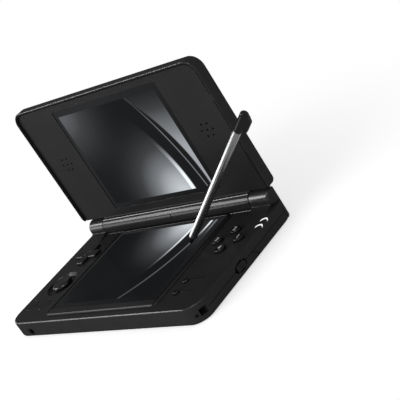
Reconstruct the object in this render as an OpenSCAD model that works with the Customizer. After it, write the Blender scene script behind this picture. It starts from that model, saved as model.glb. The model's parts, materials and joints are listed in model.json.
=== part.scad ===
// Clamshell handheld game console with two screens, opened at about a right angle, and its stylus.
// Millimetres. X is the width, +Y points to the hinge, +Z is up. The origin is the middle of the underside.

/* [Base] */
// Width of the base and of the lid
base_w = 161; // [158:1:170]
// Depth of the base from the front face to the rear face
base_d = 91.4; // [91.2:0.1:92]
// Height of the deck above the table
deck_z = 10.7; // [10.6:0.1:11.2]
// Height of the parting line between the two base shells
split_z = 5.3; // [5.2:0.1:5.4]
// Corner radius of the base seen from above
base_corner_r = 10; // [9:0.5:11]
// Rounding of the deck's outer edge
deck_edge_r = 0.8; // [0.6:0.1:1.6]
// Rounding of the edge underneath
foot_edge_r = 2; // [1:0.1:2.4]
// Wall thickness of the shells
wall = 1.5; // [1.3:0.1:1.6]
// Thickness of the bottom shell's floor
floor_t = 1.3; // [1:0.1:1.3]

/* [Touch screen] */
// Width of the raised frame round the touch screen, at its foot
frame_w = 96; // [95.6:0.1:97]
// Distance from the front face to the raised frame
frame_front = 4.5; // [4:0.1:5]
// Height of the raised frame above the deck
frame_h = 1.2; // [1.1:0.1:1.4]
// Width of the slope on the raised frame's edge
frame_slope = 1.3; // [0.8:0.1:1.4]
// Width of each sheet of glass
glass_w = 91.5; // [91:0.1:92]
// Height of each sheet of glass
glass_h = 69.2; // [68.6:0.1:69.4]
// Width of the lit part of each display
screen_w = 84.4; // [80:0.2:85]
// Height of the lit part of each display
screen_h = 62.8; // [58:0.2:63]
// Distance from the front face to the middle of the touch screen
touch_mid = 43.9; // [43.5:0.1:44.2]
// Thickness of each sheet of glass
glass_t = 0.9; // [0.8:0.1:1]
// Depth of the touch glass below its frame
glass_sink = 0.3; // [0.2:0.1:0.4]
// Thickness of each display module
lcd_t = 2; // [1.8:0.1:2.1]

/* [Hinge] */
// Distance from the front face to the hinge axis
axis_d = 86.2; // [86:0.1:86.4]
// Height of the hinge axis
axis_z = 14; // [13.9:0.1:14.3]
// Radius of the hinge barrel and knuckles
barrel_r = 5.4; // [5.2:0.1:5.5]
// Length of the lid's hinge barrel
barrel_w = 126; // [120:1:128]
// Distance between the outer ends of the two knuckles
knuckle_span = 155; // [150:1:155]
// Chamfer on the outer end of each knuckle
knuckle_chamfer = 1.5; // [0.8:0.1:2]
// Gap between a knuckle and the barrel
seam = 0.3; // [0.2:0.05:0.4]
// Gap between the barrel and the trough in the base
barrel_gap = 0.4; // [0.3:0.05:0.5]
// Radius of the hinge pins
pin_r = 2; // [1.6:0.1:2.4]
// Length of a hinge pin inside its knuckle
pin_in_knuckle = 10; // [6:1:12]
// Length of a hinge pin inside the barrel
pin_in_barrel = 12; // [8:1:16]
// Running clearance of the pins, on the radius
pin_play = 0.05; // [0.02:0.01:0.08]

/* [Lid] */
// Opening angle of the lid at rest
lid_angle = 90.5; // [88:0.5:95]
// Distance from the hinge axis to the top of the lid
lid_top = 87.1; // [86.6:0.1:88]
// Distance from the hinge axis to the bottom edge of the lid
lid_bottom = 6.4; // [6.3:0.1:6.8]
// Corner radius at the top of the lid
lid_corner_r = 8; // [6:0.5:9]
// Corner radius at the bottom of the lid
lid_foot_r = 3.2; // [3.1:0.1:4]
// Depth of the lid from its rim to the flat of its back
lid_t = 8.25; // [8.1:0.05:8.6]
// Rounding of the lid's back edge
lid_back_r = 3; // [2:0.1:3]
// Width of the rim round the inner panel
rim_w = 1.6; // [1.4:0.1:1.8]
// Height of the rim above the inner panel
rim_h = 1.7; // [1.7:0.1:1.8]
// Gap between the closed lid's rim and the deck
rim_gap = 0.3; // [0.2:0.05:0.4]
// Thickness of the inner panel
panel_t = 1.6; // [1.5:0.1:1.7]
// Distance from the hinge axis to the middle of the upper screen
upper_mid = 46; // [45.6:0.1:46.4]
// Depth of the upper glass below the panel
upper_sink = 0.15; // [0.1:0.05:0.2]
// Gap round the upper glass
upper_gap = 0.25; // [0.15:0.05:0.3]
// Distance of the speaker patterns from the middle
speaker_x = 61.7; // [60:0.1:63]
// Distance of the speaker patterns from the hinge axis
speaker_s = 46.8; // [40:0.1:50]
// Radius of the ring of speaker holes
speaker_ring = 4.2; // [3.6:0.1:4.6]
// Radius of one speaker hole
speaker_hole_r = 0.6; // [0.4:0.05:0.7]
// Distance from the hinge axis to the middle of the notches in the rim
notch_s = 64; // [60:0.5:68]
// Length of the notches in the rim
notch_l = 4; // [2:0.5:6]

/* [Buttons] */
// How far the face buttons stand above the deck
button_h = 1.6; // [1.2:0.1:1.6]
// Gap between a button and its opening
button_gap = 0.3; // [0.2:0.05:0.35]
// Distance of the face buttons' middle from the middle of the base
face_x = 63.3; // [63:0.1:63.6]
// Distance of the face buttons' middle from the front face
face_mid = 55.4; // [54:0.2:57]
// Distance of each face button from the middle of its group
face_spread = 7.8; // [7.4:0.1:8.2]
// Radius of a face button
face_r = 3.1; // [2.8:0.1:3.3]
// Distance of the D-pad from the middle of the base
dpad_x = 61.8; // [61.6:0.1:62.4]
// Distance of the D-pad from the front face
dpad_mid = 60.6; // [60.4:0.1:61.4]
// Length of the D-pad from tip to tip
dpad_span = 18.6; // [17:0.2:19]
// How far the D-pad stands above the deck
dpad_h = 1.5; // [1:0.1:1.5]
// Width of a D-pad arm
dpad_arm = 6.4; // [5.8:0.1:7]
// Distance of the two menu buttons from the middle of the base
menu_x = 56; // [55:0.2:57]
// Distance of the lower menu button from the front face
menu_front = 14.4; // [14:0.1:16]
// Spacing of the two menu buttons
menu_pitch = 9.3; // [8:0.1:11]
// Radius of a menu button
menu_r = 1.7; // [1.5:0.05:2]
// Distance of the outer round button from the middle of the base
round_x = 73; // [72.8:0.1:73.2]
// Distance of the round buttons from the front face
round_front = 15.6; // [15.4:0.1:16]
// Spacing of the two round buttons
round_pitch = 12; // [11.8:0.1:12.2]
// Radius of a round button
round_r = 4.5; // [4:0.1:4.6]
// Height of the round buttons above the deck
round_h = 0.2; // [0.1:0.1:0.6]

/* [Analog stick] */
// Distance of the stick from the middle of the base
stick_x = 62.5; // [62.2:0.1:62.8]
// Distance of the stick from the front face
stick_mid = 34.5; // [34.2:0.1:35]
// Radius of the round recess
stick_recess_r = 10; // [9.8:0.1:10.2]
// Depth of the round recess
stick_recess_d = 1.7; // [1.5:0.1:1.8]
// Radius of the stick's cap
stick_cap_r = 6.4; // [6:0.1:7.2]
// Radius of the stick's stem
stick_stem_r = 2; // [1.6:0.1:2.1]
// How far the stick slides each way from the middle
stick_travel = 1.8; // [1.5:0.1:1.8]

/* [Side controls] */
// Length of the tall part of each shoulder button
shoulder_w = 16.6; // [16:0.1:16.8]
// Length of the low part of each shoulder button, under the barrel
shoulder_low_w = 10; // [8:0.5:12]
// Depth of the shoulder buttons
shoulder_d = 6.6; // [6.2:0.1:6.7]
// Height of the top of the shoulder buttons
shoulder_z = 7.9; // [7.6:0.1:8]
// Height of the top of their low part
shoulder_low_z = 6.4; // [6:0.1:6.6]
// Gap in front of a shoulder button
shoulder_gap = 0.8; // [0.7:0.05:0.9]
// Distance of the side slider from the front face
slider_mid = 39; // [37:0.5:42]
// Length of the side slider
slider_l = 7.4; // [6.6:0.2:8]
// Distance of the volume rocker from the front face
volume_mid = 43; // [41:0.5:46]
// Length of the volume rocker
volume_l = 20; // [16:0.5:22]
// Height of the slider and of the rocker
side_h = 3.6; // [3.4:0.1:3.8]
// How far the slider and the rocker stand proud of the side
side_proud = 0.7; // [0.4:0.1:0.9]

/* [Sockets] */
// Distance of the headphone socket from the middle of the base
jack_x = 63.3; // [63:0.1:63.5]
// Height of the headphone socket
jack_z = 3.9; // [3.8:0.1:4]
// Radius of the headphone socket's bore
jack_r = 1.8; // [1.75:0.05:1.9]
// Depth of the headphone socket
jack_l = 12; // [10:0.5:13]
// Side of the square strap hole
strap_side = 4; // [3:0.1:4]
// Distance of the strap hole from the front face
strap_front = 5.5; // [5.4:0.1:5.8]
// Width of the game card slot
card_w = 33.6; // [30:0.2:35]
// Height of the game card slot
card_h = 4.3; // [4.2:0.1:4.4]
// Depth of the game card slot
card_l = 30; // [26:0.5:32]
// Distance of the power socket from the middle of the base
power_x = 36; // [34:0.5:40]
// Distance of the bottom screws from the middle of the base
screw_x = 71; // [70.8:0.1:71.2]
// Distance of the bottom screws from the front face
screw_front = 6.2; // [6:0.1:6.4]

/* [Stylus] */
// Length of the stylus
stylus_l = 96; // [86:1:100]
// Radius of the stylus barrel
stylus_r = 2.2; // [1.8:0.1:2.4]
// Length of the stylus cap
cap_l = 12; // [8:0.5:14]
// Length of the stylus tip
tip_l = 5; // [4:0.5:7]
// Lean of the stylus above the deck
stylus_lean = 38.5; // [37:0.1:44]
// Turn of the stylus seen from above, from +X towards the hinge
stylus_turn = 12.2; // [8:0.1:14]
// Distance of the stylus tip from the middle of the base
tip_x = 34.3; // [33:0.1:36]
// Distance of the stylus tip from the front face
tip_front = 56; // [54:0.1:58]

/* [Hidden] */

shell_colour = "#1c1c1e";
control_colour = "#26262a";
glass_colour = "#0a0c10";
board_colour = "#1f5a3a";
metal_colour = "#9a9ca0";
rubber_colour = "#55565a";

smooth = 48;
hull_steps = 32;
eps = 0.01;
past = 1;
front_y = -base_d / 2;
rear_y = base_d / 2;
axis_y = front_y + axis_d;
side_x = base_w / 2;

// Deck, frame and what lies under the touch glass
frame_z = deck_z + frame_h;
touch_top = frame_z - glass_sink;
lcd_top = touch_top - glass_t;
lcd_bottom = lcd_top - lcd_t;
lcd_border = 1.8;
lcd_w = screen_w + 2 * lcd_border;
lcd_h = screen_h + 2 * lcd_border;
lcd_gap = 0.2;
glass_gap = 0.15;
glass_corner_r = 1.2;
shield_t = 0.7;
deck_under = deck_z - wall;
frame_rear = axis_d - barrel_r - 1;
frame_corner_r = 3;
inner_rear = axis_d - barrel_r - wall;

// Electronics
board_z = 5.6;
board_t = 0.8;
board_top = board_z + board_t;
board_inset = 1.4;
board_front = 22;
post_r = 1.6;
pad_t = 0.7;
pad_w = 22;
round_mid = round_x - round_pitch / 2;
battery_w = 74;
battery_t = 3.9;
battery_x = -8;
battery_front = 19;
screw_r = 1.2;
screw_head_r = 2.2;
screw_head_t = 1.2;
screw_sunk = 0.6;
boss_r = 2.8;

// Button details
press = 0.7;
flange_w = 0.8;
flange_t = 0.7;
flange_z = deck_under - 0.15 - flange_t;
dome = 0.5;
dpad_flange_r = 7;
dpad_pivot_r = 1.1;
dpad_pivot_z = board_top + dpad_pivot_r + 0.1;
dpad_foot_z = dpad_pivot_z + 0.5;
dpad_flange_drop = 0.5;
socket_play = 0.06;

// Stick
stick_floor_z = deck_z - stick_recess_d;
stick_floor_t = 0.9;
stick_box = 10.5;
stick_wall = 1.4;
housing_top = stick_floor_z - stick_floor_t;
housing_floor = 0.5;
carriage_z = board_top + housing_floor + 0.1;
carriage_t = 0.7;
carriage_w = 12.6;
carriage_d = 17.6;
stem_play = 0.2;

// Side controls
side_z = 5.2;
side_slot = 0.3;
side_depth = 1.2;
side_flange = 0.9;
side_flange_t = 0.6;
slide_way = 1;
shoulder_pin_r = 0.9;
shoulder_foot = 0.5;

// Sockets and lenses
strap_depth = 5.9;
strap_z = 5.4;
strap_bore_r = 1.4;
strap_bore_x = 4;
strap_bore_z = 4.8;
socket_wall = 0.9;
tongue_front = jack_l + socket_wall + 0.6;
card_wall = 0.55;
card_z = floor_t + card_wall;
card_front = base_d - card_l - card_wall;
board_rear = card_front - 1.85;
battery_d = card_front - 2.9 - battery_front;
power_w = 7.4;
power_h = 2.6;
power_l = 14;
led_r = 1.9;
led_mid = 67.2;
led_pitch = 5.3;
led_lean = 45;
led_in = 1.9;
led_down = 0.35;
led_l = 3.4;

// Lid, in its own frame: y runs up the lid from the hinge axis and z points out of its inner face
rim_z = axis_z - deck_z - rim_gap;
panel_z = rim_z - rim_h;
lid_back_z = rim_z - lid_t;
lid_wall = 1.6;
lid_h = lid_top - lid_bottom;
ledge = 1.2;
panel_under = panel_z - panel_t;
upper_top = panel_z - upper_sink;
notch_d = 0.9;
notch_drop = 1.1;
speaker_r = 7;
speaker_t = 2;
neck_low = -3.4;
neck_high = 0.4;
mic_w = 4;
mic_side = 2.4;
mic_slit_h = 0.5;
mic_slit_w = 2;
cable_w = 14;
cable_t = 0.3;
cable_l = 30;
magnet_r = 3;
magnet_t = 1.5;
magnet_x = -66;
magnet_s = 76;

// Stylus
tip_r = 0.8;
tip_gap = 0.25;
fin_t = 3.2;
fin_out = 2;
fin_low = 9.6;
fin_slope = 3.6;
tip_lift = tip_gap + tip_r * (1 - sin(stylus_lean));

module rounded_rect(w, d, r) {
  square([w - 2 * r, d], center = true);
  square([w, d - 2 * r], center = true);
  for (sx = [-1, 1], sy = [-1, 1])
    translate([sx * (w / 2 - r), sy * (d / 2 - r)]) circle(r = r, $fn = smooth);
}

module rounded_plate(w, d, h, r) {
  linear_extrude(h) rounded_rect(w, d, r);
}

// A pill with round ends along X
module pill(l, w) {
  square([l - w, w], center = true);
  for (s = [-1, 1]) translate([s * (l - w) / 2, 0]) circle(r = w / 2, $fn = smooth);
}

function arc(cx, cy, r, from, to) =
  [for (i = [0 : 3]) let (a = from + (to - from) * i / 3) [cx + r * cos(a), cy + r * sin(a)]];

// A corner post with rounded edges at its foot and its top
module corner_post(r, h, foot_r, top_r) {
  rotate_extrude($fn = hull_steps)
    polygon(concat([[0, 0]], arc(r - foot_r, foot_r, foot_r, -90, 0),
      arc(r - top_r, h - top_r, top_r, 0, 90), [[0, h]]));
}

// A block with rounded corners and edges; the corners at its front and rear may differ
module soft_slab(w, d, h, front_r, back_r, foot_r, top_r) {
  hull()
    for (s = [-1, 1]) {
      translate([s * (w / 2 - front_r), -d / 2 + front_r, 0]) corner_post(front_r, h, foot_r, top_r);
      translate([s * (w / 2 - back_r), d / 2 - back_r, 0]) corner_post(back_r, h, foot_r, top_r);
    }
}

// Places at a distance from the middle, a distance from the front face and a height
module place(x, d, z) {
  translate([x, front_y + d, z]) children();
}

module sided(side) {
  mirror([side < 0 ? 1 : 0, 0, 0]) children();
}

module on_axis(x) {
  translate([x, axis_y, axis_z]) rotate([0, 90, 0]) children();
}

module base_blank() {
  soft_slab(base_w, base_d, deck_z, base_corner_r, base_corner_r, foot_edge_r, deck_edge_r);
}

module inner_space(z0, z1) {
  translate([0, front_y + (inner_rear + wall) / 2, z0])
    rounded_plate(base_w - 2 * wall, inner_rear - wall, z1 - z0, base_corner_r - wall);
}

// The strap hole has a closed block round it
module strap_block() {
  place(side_x - strap_depth - wall, 0, 0) cube([base_w, strap_front + strap_side / 2 + wall, deck_z]);
}

module strap_hole() {
  place(side_x - strap_depth, strap_front - strap_side / 2, strap_z - strap_side / 2)
    cube([base_w, strap_side, strap_side]);
  place(side_x - strap_bore_x, strap_front, strap_bore_z) rotate([90, 0, 0])
    cylinder(r = strap_bore_r, h = base_d, $fn = smooth);
}

knuckle_in = barrel_w / 2 + seam;
knuckle_out = knuckle_span / 2;

module barrel_trough() {
  on_axis(-knuckle_in) cylinder(r = barrel_r + barrel_gap, h = 2 * knuckle_in, $fn = 64);
  trough_rim = axis_z - barrel_r - barrel_gap + 0.3;
  translate([-knuckle_in, axis_y, trough_rim]) cube([2 * knuckle_in, base_d, axis_z]);
}

// One knuckle with the ramp that carries it down to the deck
module knuckle() {
  ramp_d = 12.2;
  ramp_l = 6.2;
  ramp_h = 1.5;
  length = knuckle_out - knuckle_in;
  back = rear_y - axis_y - 0.2;
  on_axis(knuckle_in) {
    cylinder(r = barrel_r, h = length - knuckle_chamfer, $fn = 64);
    translate([0, 0, length - knuckle_chamfer])
      cylinder(r1 = barrel_r, r2 = barrel_r - knuckle_chamfer, h = knuckle_chamfer, $fn = 64);
  }
  translate([knuckle_in, axis_y, 0]) rotate([90, 0, 90]) linear_extrude(length - knuckle_chamfer / 2)
    polygon([[-ramp_d, deck_z - eps], [ramp_l - ramp_d, deck_z + ramp_h], [0.6 - barrel_r, axis_z - 0.4],
      [0, axis_z], [back, axis_z - 0.4], [back, deck_z - eps]]);
}

module knuckles() {
  intersection() {
    for (s = [-1, 1]) sided(s) knuckle();
    rounded_plate(base_w, base_d, 2 * axis_z, base_corner_r);
  }
}

module cross(span, arm) {
  rounded_rect(span, arm, 1);
  rounded_rect(arm, span, 1);
}

module face_place(turn) {
  place(face_x + face_spread * cos(turn), face_mid + face_spread * sin(turn), 0) children();
}

module hole(r) {
  translate([0, 0, split_z]) cylinder(r = r, h = deck_z, $fn = smooth);
}

module control_openings() {
  for (a = [0 : 90 : 270]) face_place(a) hole(face_r + button_gap);
  for (i = [0, 1]) {
    place(menu_x, menu_front + i * menu_pitch, 0) hole(menu_r + button_gap);
    place(i * round_pitch - round_x, round_front, 0) hole(round_r + button_gap / 2);
  }
  place(-dpad_x, dpad_mid, split_z) linear_extrude(deck_z)
    cross(dpad_span + 2 * button_gap, dpad_arm + 2 * button_gap);
  place(-stick_x, stick_mid, stick_floor_z) cylinder(r = stick_recess_r, h = deck_z, $fn = 64);
  place(-stick_x, stick_mid, deck_z - 0.5)
    cylinder(r1 = stick_recess_r - eps, r2 = stick_recess_r + 0.6, h = 0.6, $fn = 64);
  place(-stick_x, stick_mid, 0) hole(stick_stem_r + sqrt(2) * stick_travel + stem_play);
}

module led_place(i) {
  place(side_x - led_in, led_mid + (i - 0.5) * led_pitch, deck_z - led_down)
    rotate([0, led_lean, 0]) children();
}

module shoulder_blank(grow, low, high) {
  intersection() {
    union() {
      translate([side_x - shoulder_w - grow, rear_y - shoulder_d - (grow > 0 ? shoulder_gap : 0), low])
        cube([shoulder_w + grow + past, shoulder_d + base_d, high - low]);
      translate([side_x - shoulder_w - shoulder_low_w - grow, rear_y - shoulder_d - (grow > 0 ? shoulder_gap : 0), low])
        cube([shoulder_w + grow + past, shoulder_d + base_d, min(high, high - shoulder_z + shoulder_low_z) - low]);
    }
    translate([0, 0, low]) rounded_plate(base_w + 4 * grow, base_d + 4 * grow, high - low, base_corner_r + 2 * grow);
  }
}

module shoulder_pin(r, h) {
  translate([side_x - shoulder_w - shoulder_low_w + 2.2, rear_y - 2.4, shoulder_low_z + side_slot - h])
    cylinder(r = r, h = h + eps, $fn = smooth);
}

module shoulder_pocket() {
  shoulder_blank(side_slot, -past, shoulder_z + side_slot);
}

module side_place(side, mid, inset) {
  sided(side) place(side_x - inset, mid, side_z) rotate([90, 0, 90]) children();
}

// Openings that cross the parting line, cut alike from both shells
module side_openings() {
  side_place(1, slider_mid, wall + past)
    linear_extrude(2 * wall + past) pill(slider_l + 2 * slide_way + 2 * side_slot, side_h + 2 * side_slot);
  side_place(-1, volume_mid, wall + past)
    linear_extrude(2 * wall + past) pill(volume_l + 2 * side_slot, side_h + 2 * side_slot);
  strap_hole();
  place(-jack_x, -past, jack_z) rotate([-90, 0, 0])
    cylinder(r = jack_r + socket_wall, h = wall + 2 * past, $fn = smooth);
  place(-card_w / 2 - card_wall, inner_rear - past, card_z - card_wall)
    cube([card_w + 2 * card_wall, base_d, card_h + 2 * card_wall]);
  place(power_x - power_w / 2 - socket_wall, inner_rear - past, floor_t)
    cube([power_w + 2 * socket_wall, base_d, power_h + 2 * socket_wall]);
  for (s = [-1, 1]) sided(s) shoulder_pocket();
}

module screw_places() {
  for (s = [-1, 1]) place(s * screw_x, screw_front, 0) children();
}

module base_top_shell() {
  top_shell_body();
  top_shell_pins();
}

module top_shell_body() color(shell_colour) difference() {
  union() {
    difference() {
      base_blank();
      translate([-base_w, -base_d, -past]) cube([2 * base_w, 2 * base_d, split_z + past]);
    }
    // Raised frame round the touch screen, with a sloped edge
    frame_d = frame_rear - frame_front;
    hull() {
      place(0, frame_front + frame_d / 2, deck_z - 0.3) linear_extrude(0.3)
        rounded_rect(frame_w, frame_d, frame_corner_r, $fn = hull_steps);
      place(0, frame_front + (frame_d + frame_slope) / 2, deck_z) linear_extrude(frame_h)
        rounded_rect(frame_w - 2 * frame_slope, frame_d - frame_slope, frame_corner_r - 1, $fn = hull_steps);
    }
    knuckles();
  }
  barrel_trough();
  difference() {
    inner_space(split_z - past, deck_under);
    screw_places() cylinder(r = boss_r, h = deck_z, $fn = smooth);
    place(-stick_x, stick_mid, housing_top) cylinder(r = stick_recess_r + 1, h = deck_z, $fn = smooth);
    strap_block();
  }
  control_openings();
  side_openings();
  place(0, touch_mid, lcd_top)
    rounded_plate(glass_w + 2 * glass_gap, glass_h + 2 * glass_gap, deck_z, glass_corner_r);
  place(0, touch_mid, split_z) rounded_plate(lcd_w + 2 * lcd_gap, lcd_h + 2 * lcd_gap, deck_z, 0.6);
  for (i = [0, 1]) led_place(i) translate([0, 0, -2 * led_l]) cylinder(r = led_r, h = 4 * led_l, $fn = smooth);
  screw_places() cylinder(r = screw_r, h = deck_under - screw_sunk, $fn = smooth);
  for (s = [-1, 1]) sided(s) on_axis(knuckle_in - past)
    cylinder(r = pin_r, h = pin_in_knuckle + past, $fn = smooth);
}
module top_shell_pins() color(shell_colour) for (s = [-1, 1]) sided(s) shoulder_pin(shoulder_pin_r, 4.8);

module base_bottom_shell() color(shell_colour) difference() {
  base_blank();
  translate([-base_w, -base_d, split_z]) cube([2 * base_w, 2 * base_d, base_d]);
  difference() {
    inner_space(floor_t, split_z + past);
    screw_places() cylinder(r = boss_r, h = split_z, $fn = smooth);
    strap_block();
  }
  side_openings();
  screw_places() {
    translate([0, 0, -past]) cylinder(r = screw_r + 0.1, h = deck_z, $fn = smooth);
    translate([0, 0, -past]) cylinder(r = screw_head_r + 0.15, h = screw_sunk + screw_head_t + past, $fn = smooth);
  }
}

module bottom_screws() color(metal_colour) screw_places() translate([0, 0, screw_sunk]) {
  difference() {
    cylinder(r = screw_head_r, h = screw_head_t, $fn = smooth);
    for (a = [0, 90]) rotate(a) translate([-1.2, -0.25, -past]) cube([2.4, 0.5, past + 0.5]);
  }
  translate([0, 0, screw_head_t]) cylinder(r = screw_r, h = deck_under - 2 * screw_sunk - screw_head_t - 0.2, $fn = smooth);
}

module touch_glass() color(glass_colour)
  place(0, touch_mid, lcd_top) rounded_plate(glass_w, glass_h, glass_t, glass_corner_r - glass_gap);

module lower_display() color(metal_colour)
  place(0, touch_mid, lcd_bottom) rounded_plate(lcd_w, lcd_h, lcd_t, 0.5);

module shield_plate() color(metal_colour) {
  place(0, touch_mid, lcd_bottom - shield_t) rounded_plate(lcd_w, lcd_h, shield_t, 0.5);
  for (s = [-1, 1]) place(s * (lcd_w / 2 - 3), board_rear - 4, board_top) cylinder(r = post_r, h = lcd_bottom - shield_t - board_top, $fn = smooth);
}

module main_board() color(board_colour) {
  place(0, (board_front + board_rear) / 2, board_z)
    rounded_plate(base_w - 2 * wall - 2 * board_inset, board_rear - board_front, board_t, 1);
  for (s = [-1, 1]) place(s * (side_x - 8), board_front + (board_rear - board_front) / 2, floor_t) {
    translate([-post_r, 8, 0]) cube([2 * post_r, 2 * post_r, board_z - floor_t]);
    translate([-post_r, -16, 0]) cube([2 * post_r, 2 * post_r, board_z - floor_t]);
  }
  // Tongues that carry the button pads in front of and behind the board
  for (s = [-1, 1]) {
    place(s * round_mid - pad_w / 2 - 1, tongue_front, board_z)
      cube([pad_w + 2, board_front - tongue_front + past, board_t]);
    place(s * dpad_x - pad_w / 2 - 1, board_rear - past, board_z)
      cube([pad_w + 2, dpad_mid + pad_w / 2 + 1 - board_rear + past, board_t]);
  }
}

module board_chips() color("#2b2c2e") {
  rear_row = board_rear - 9;
  chip = [[0, 30, 13, 1], [18, 34, 9, 0.9], [-20, 33, 10, 0.9],
    [34, rear_row - 1, 7, 0.8], [-33, rear_row, 8, 0.8], [8, rear_row, 8, 0.8]];
  for (c = chip) place(c[0], c[1], board_top + c[3] / 2) cube([c[2], c[2], c[3]], center = true);
}

module battery() color("#30383c") place(battery_x - battery_w / 2, battery_front, floor_t)
  cube([battery_w, battery_d, battery_t]);

module pad_plate(w, d) {
  linear_extrude(pad_t) rounded_rect(w, d, 2);
}

module left_rubber_pad() color(rubber_colour) difference() {
  union() {
    place(-dpad_x, dpad_mid, board_top) pad_plate(pad_w, pad_w);
    place(-round_mid, tongue_front + round_r, board_top) pad_plate(pad_w, 2 * round_r);
  }
  place(-dpad_x, dpad_mid, board_top - past) cylinder(r = dpad_pivot_r + 1, h = 2 * past + pad_t, $fn = smooth);
  place(-stick_x - stick_box - 0.5, stick_mid - stick_box - 0.5, board_top - past)
    cube([2 * stick_box + 1, 2 * stick_box + 1, 3 * past]);
}

module right_rubber_pad() color(rubber_colour) {
  place(face_x, face_mid, board_top) pad_plate(pad_w, pad_w);
  menu_rear = menu_front + menu_pitch + 2 * menu_r;
  place(menu_x + menu_r, (tongue_front + menu_rear) / 2, board_top) pad_plate(5 * menu_r, menu_rear - tongue_front);
}

module led_lens(i) color("#f4f4f2") intersection() {
  led_place(i) translate([0, 0, -led_l]) cylinder(r = led_r, h = 2 * led_l, $fn = smooth);
  translate([0, 0, 0.02]) base_blank();
}
module led_lens_front() led_lens(0);
module led_lens_rear() led_lens(1);

module headphone_socket() color("#2a2a2c") difference() {
  union() {
    place(-jack_x, 0.4, jack_z) rotate([-90, 0, 0])
      cylinder(r = jack_r + socket_wall, h = wall - 0.4 + eps, $fn = smooth);
    place(-jack_x - jack_r - socket_wall, wall, floor_t)
      cube([2 * (jack_r + socket_wall), jack_l, jack_z - floor_t + jack_r + socket_wall]);
  }
  place(-jack_x, -past, jack_z) rotate([-90, 0, 0]) cylinder(r = jack_r, h = jack_l + past, $fn = smooth);
}

module power_socket() color("#2a2a2c") difference() {
  place(power_x - power_w / 2 - socket_wall, base_d - power_l - socket_wall, floor_t)
    cube([power_w + 2 * socket_wall, power_l + socket_wall - 0.4, power_h + 2 * socket_wall]);
  place(power_x - power_w / 2, base_d - power_l, floor_t + socket_wall) cube([power_w, power_l + past, power_h]);
}

module card_connector() color("#2a2a2c") difference() {
  place(-card_w / 2 - card_wall, base_d - card_l - card_wall, card_z - card_wall)
    cube([card_w + 2 * card_wall, card_l + card_wall - 0.4, card_h + 2 * card_wall]);
  place(-card_w / 2, base_d - card_l, card_z) cube([card_w, card_l + past, card_h]);
}

module stick_housing() color("#2a2a2c") place(-stick_x, stick_mid, board_top) difference() {
  translate([-stick_box, -stick_box, 0]) cube([2 * stick_box, 2 * stick_box, housing_top - board_top]);
  translate([stick_wall - stick_box, stick_wall - stick_box, housing_floor])
    cube([2 * (stick_box - stick_wall), 2 * (stick_box - stick_wall), deck_z]);
}

module hinge_pin(side) color(metal_colour) sided(side) on_axis(knuckle_in - seam - pin_in_barrel)
  cylinder(r = pin_r, h = pin_in_barrel + seam + pin_in_knuckle, $fn = smooth);
module hinge_pin_left() hinge_pin(-1);
module hinge_pin_right() hinge_pin(1);

module switch_box(side, mid) {
  sided(side) place(side_x - wall - board_inset - 4.2, mid - 4, board_top) cube([4, 8, 1.4]);
}
module volume_switch() color(metal_colour) switch_box(-1, volume_mid);
module slide_switch() color(metal_colour) switch_box(1, slider_mid);

// A button: a stem with a domed top, held under the deck by its flange
module button(r, top) {
  rotate_extrude($fn = smooth)
    polygon(concat([[0, flange_z], [r + flange_w, flange_z], [r + flange_w, flange_z + flange_t], [r, flange_z + flange_t]],
      [for (i = [0 : 4]) let (a = i * 90 / 4) [r - dome + dome * cos(a), top - dome + dome * sin(a)]], [[0, top]]));
}

module face_button(turn) color(control_colour) face_place(turn) button(face_r, deck_z + button_h);
module face_button_right() face_button(0);
module face_button_rear() face_button(90);
module face_button_left() face_button(180);
module face_button_front() face_button(270);

module menu_button(i) color(control_colour)
  place(menu_x, menu_front + i * menu_pitch, 0) button(menu_r, deck_z + button_h - 0.6);
module menu_button_front() menu_button(0);
module menu_button_rear() menu_button(1);

module round_button(i) color(control_colour)
  place(i * round_pitch - round_x, round_front, 0) button(round_r, deck_z + round_h);
module round_button_outer() round_button(0);
module round_button_inner() round_button(1);

module d_pad_pivot() color(metal_colour) place(-dpad_x, dpad_mid, dpad_pivot_z) sphere(r = dpad_pivot_r, $fn = smooth);

module d_pad() color(control_colour) place(-dpad_x, dpad_mid, 0) difference() {
  union() {
    translate([0, 0, dpad_foot_z]) linear_extrude(deck_z + dpad_h - 0.4 - dpad_foot_z) cross(dpad_span, dpad_arm);
    translate([0, 0, dpad_foot_z]) linear_extrude(deck_z + dpad_h - dpad_foot_z) cross(dpad_span - 0.8, dpad_arm - 0.8);
    translate([0, 0, dpad_foot_z]) cylinder(r = dpad_flange_r, h = deck_under - dpad_flange_drop - dpad_foot_z, $fn = smooth);
  }
  translate([0, 0, dpad_pivot_z]) sphere(r = dpad_pivot_r + socket_play, $fn = smooth);
  translate([0, 0, deck_z + dpad_h + 7.6]) sphere(r = 8, $fn = 64);
}

module shoulder_button(side) color(control_colour) sided(side) difference() {
  shoulder_blank(0, shoulder_foot, shoulder_z);
  translate([0, 0, past]) shoulder_pin(shoulder_pin_r + pin_play, 6.4);
}
module left_shoulder_button() shoulder_button(-1);
module right_shoulder_button() shoulder_button(1);

module side_button(side, mid, l) {
  side_place(side, mid, wall) linear_extrude(wall + side_proud - 0.3) pill(l, side_h);
  side_place(side, mid, wall) linear_extrude(wall + side_proud) pill(l - 0.6, side_h - 0.6);
  side_place(side, mid, wall + side_flange_t + side_slot) linear_extrude(side_flange_t + side_slot)
    pill(l - 0.1, side_h - 0.1);
  side_place(side, mid, wall + side_flange_t + side_slot) linear_extrude(side_flange_t)
    pill(l, side_h + 2 * side_flange);
}
module side_slider() color(control_colour) difference() {
  side_button(1, slider_mid, slider_l);
  for (i = [-1, 0, 1]) place(side_x + side_proud - 0.3, slider_mid + 1.2 * i, side_z)
    translate([0, -0.25, -side_h / 4]) cube([past, 0.5, side_h / 2]);
}
module volume_rocker() color(control_colour) side_button(-1, volume_mid, volume_l);

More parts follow.
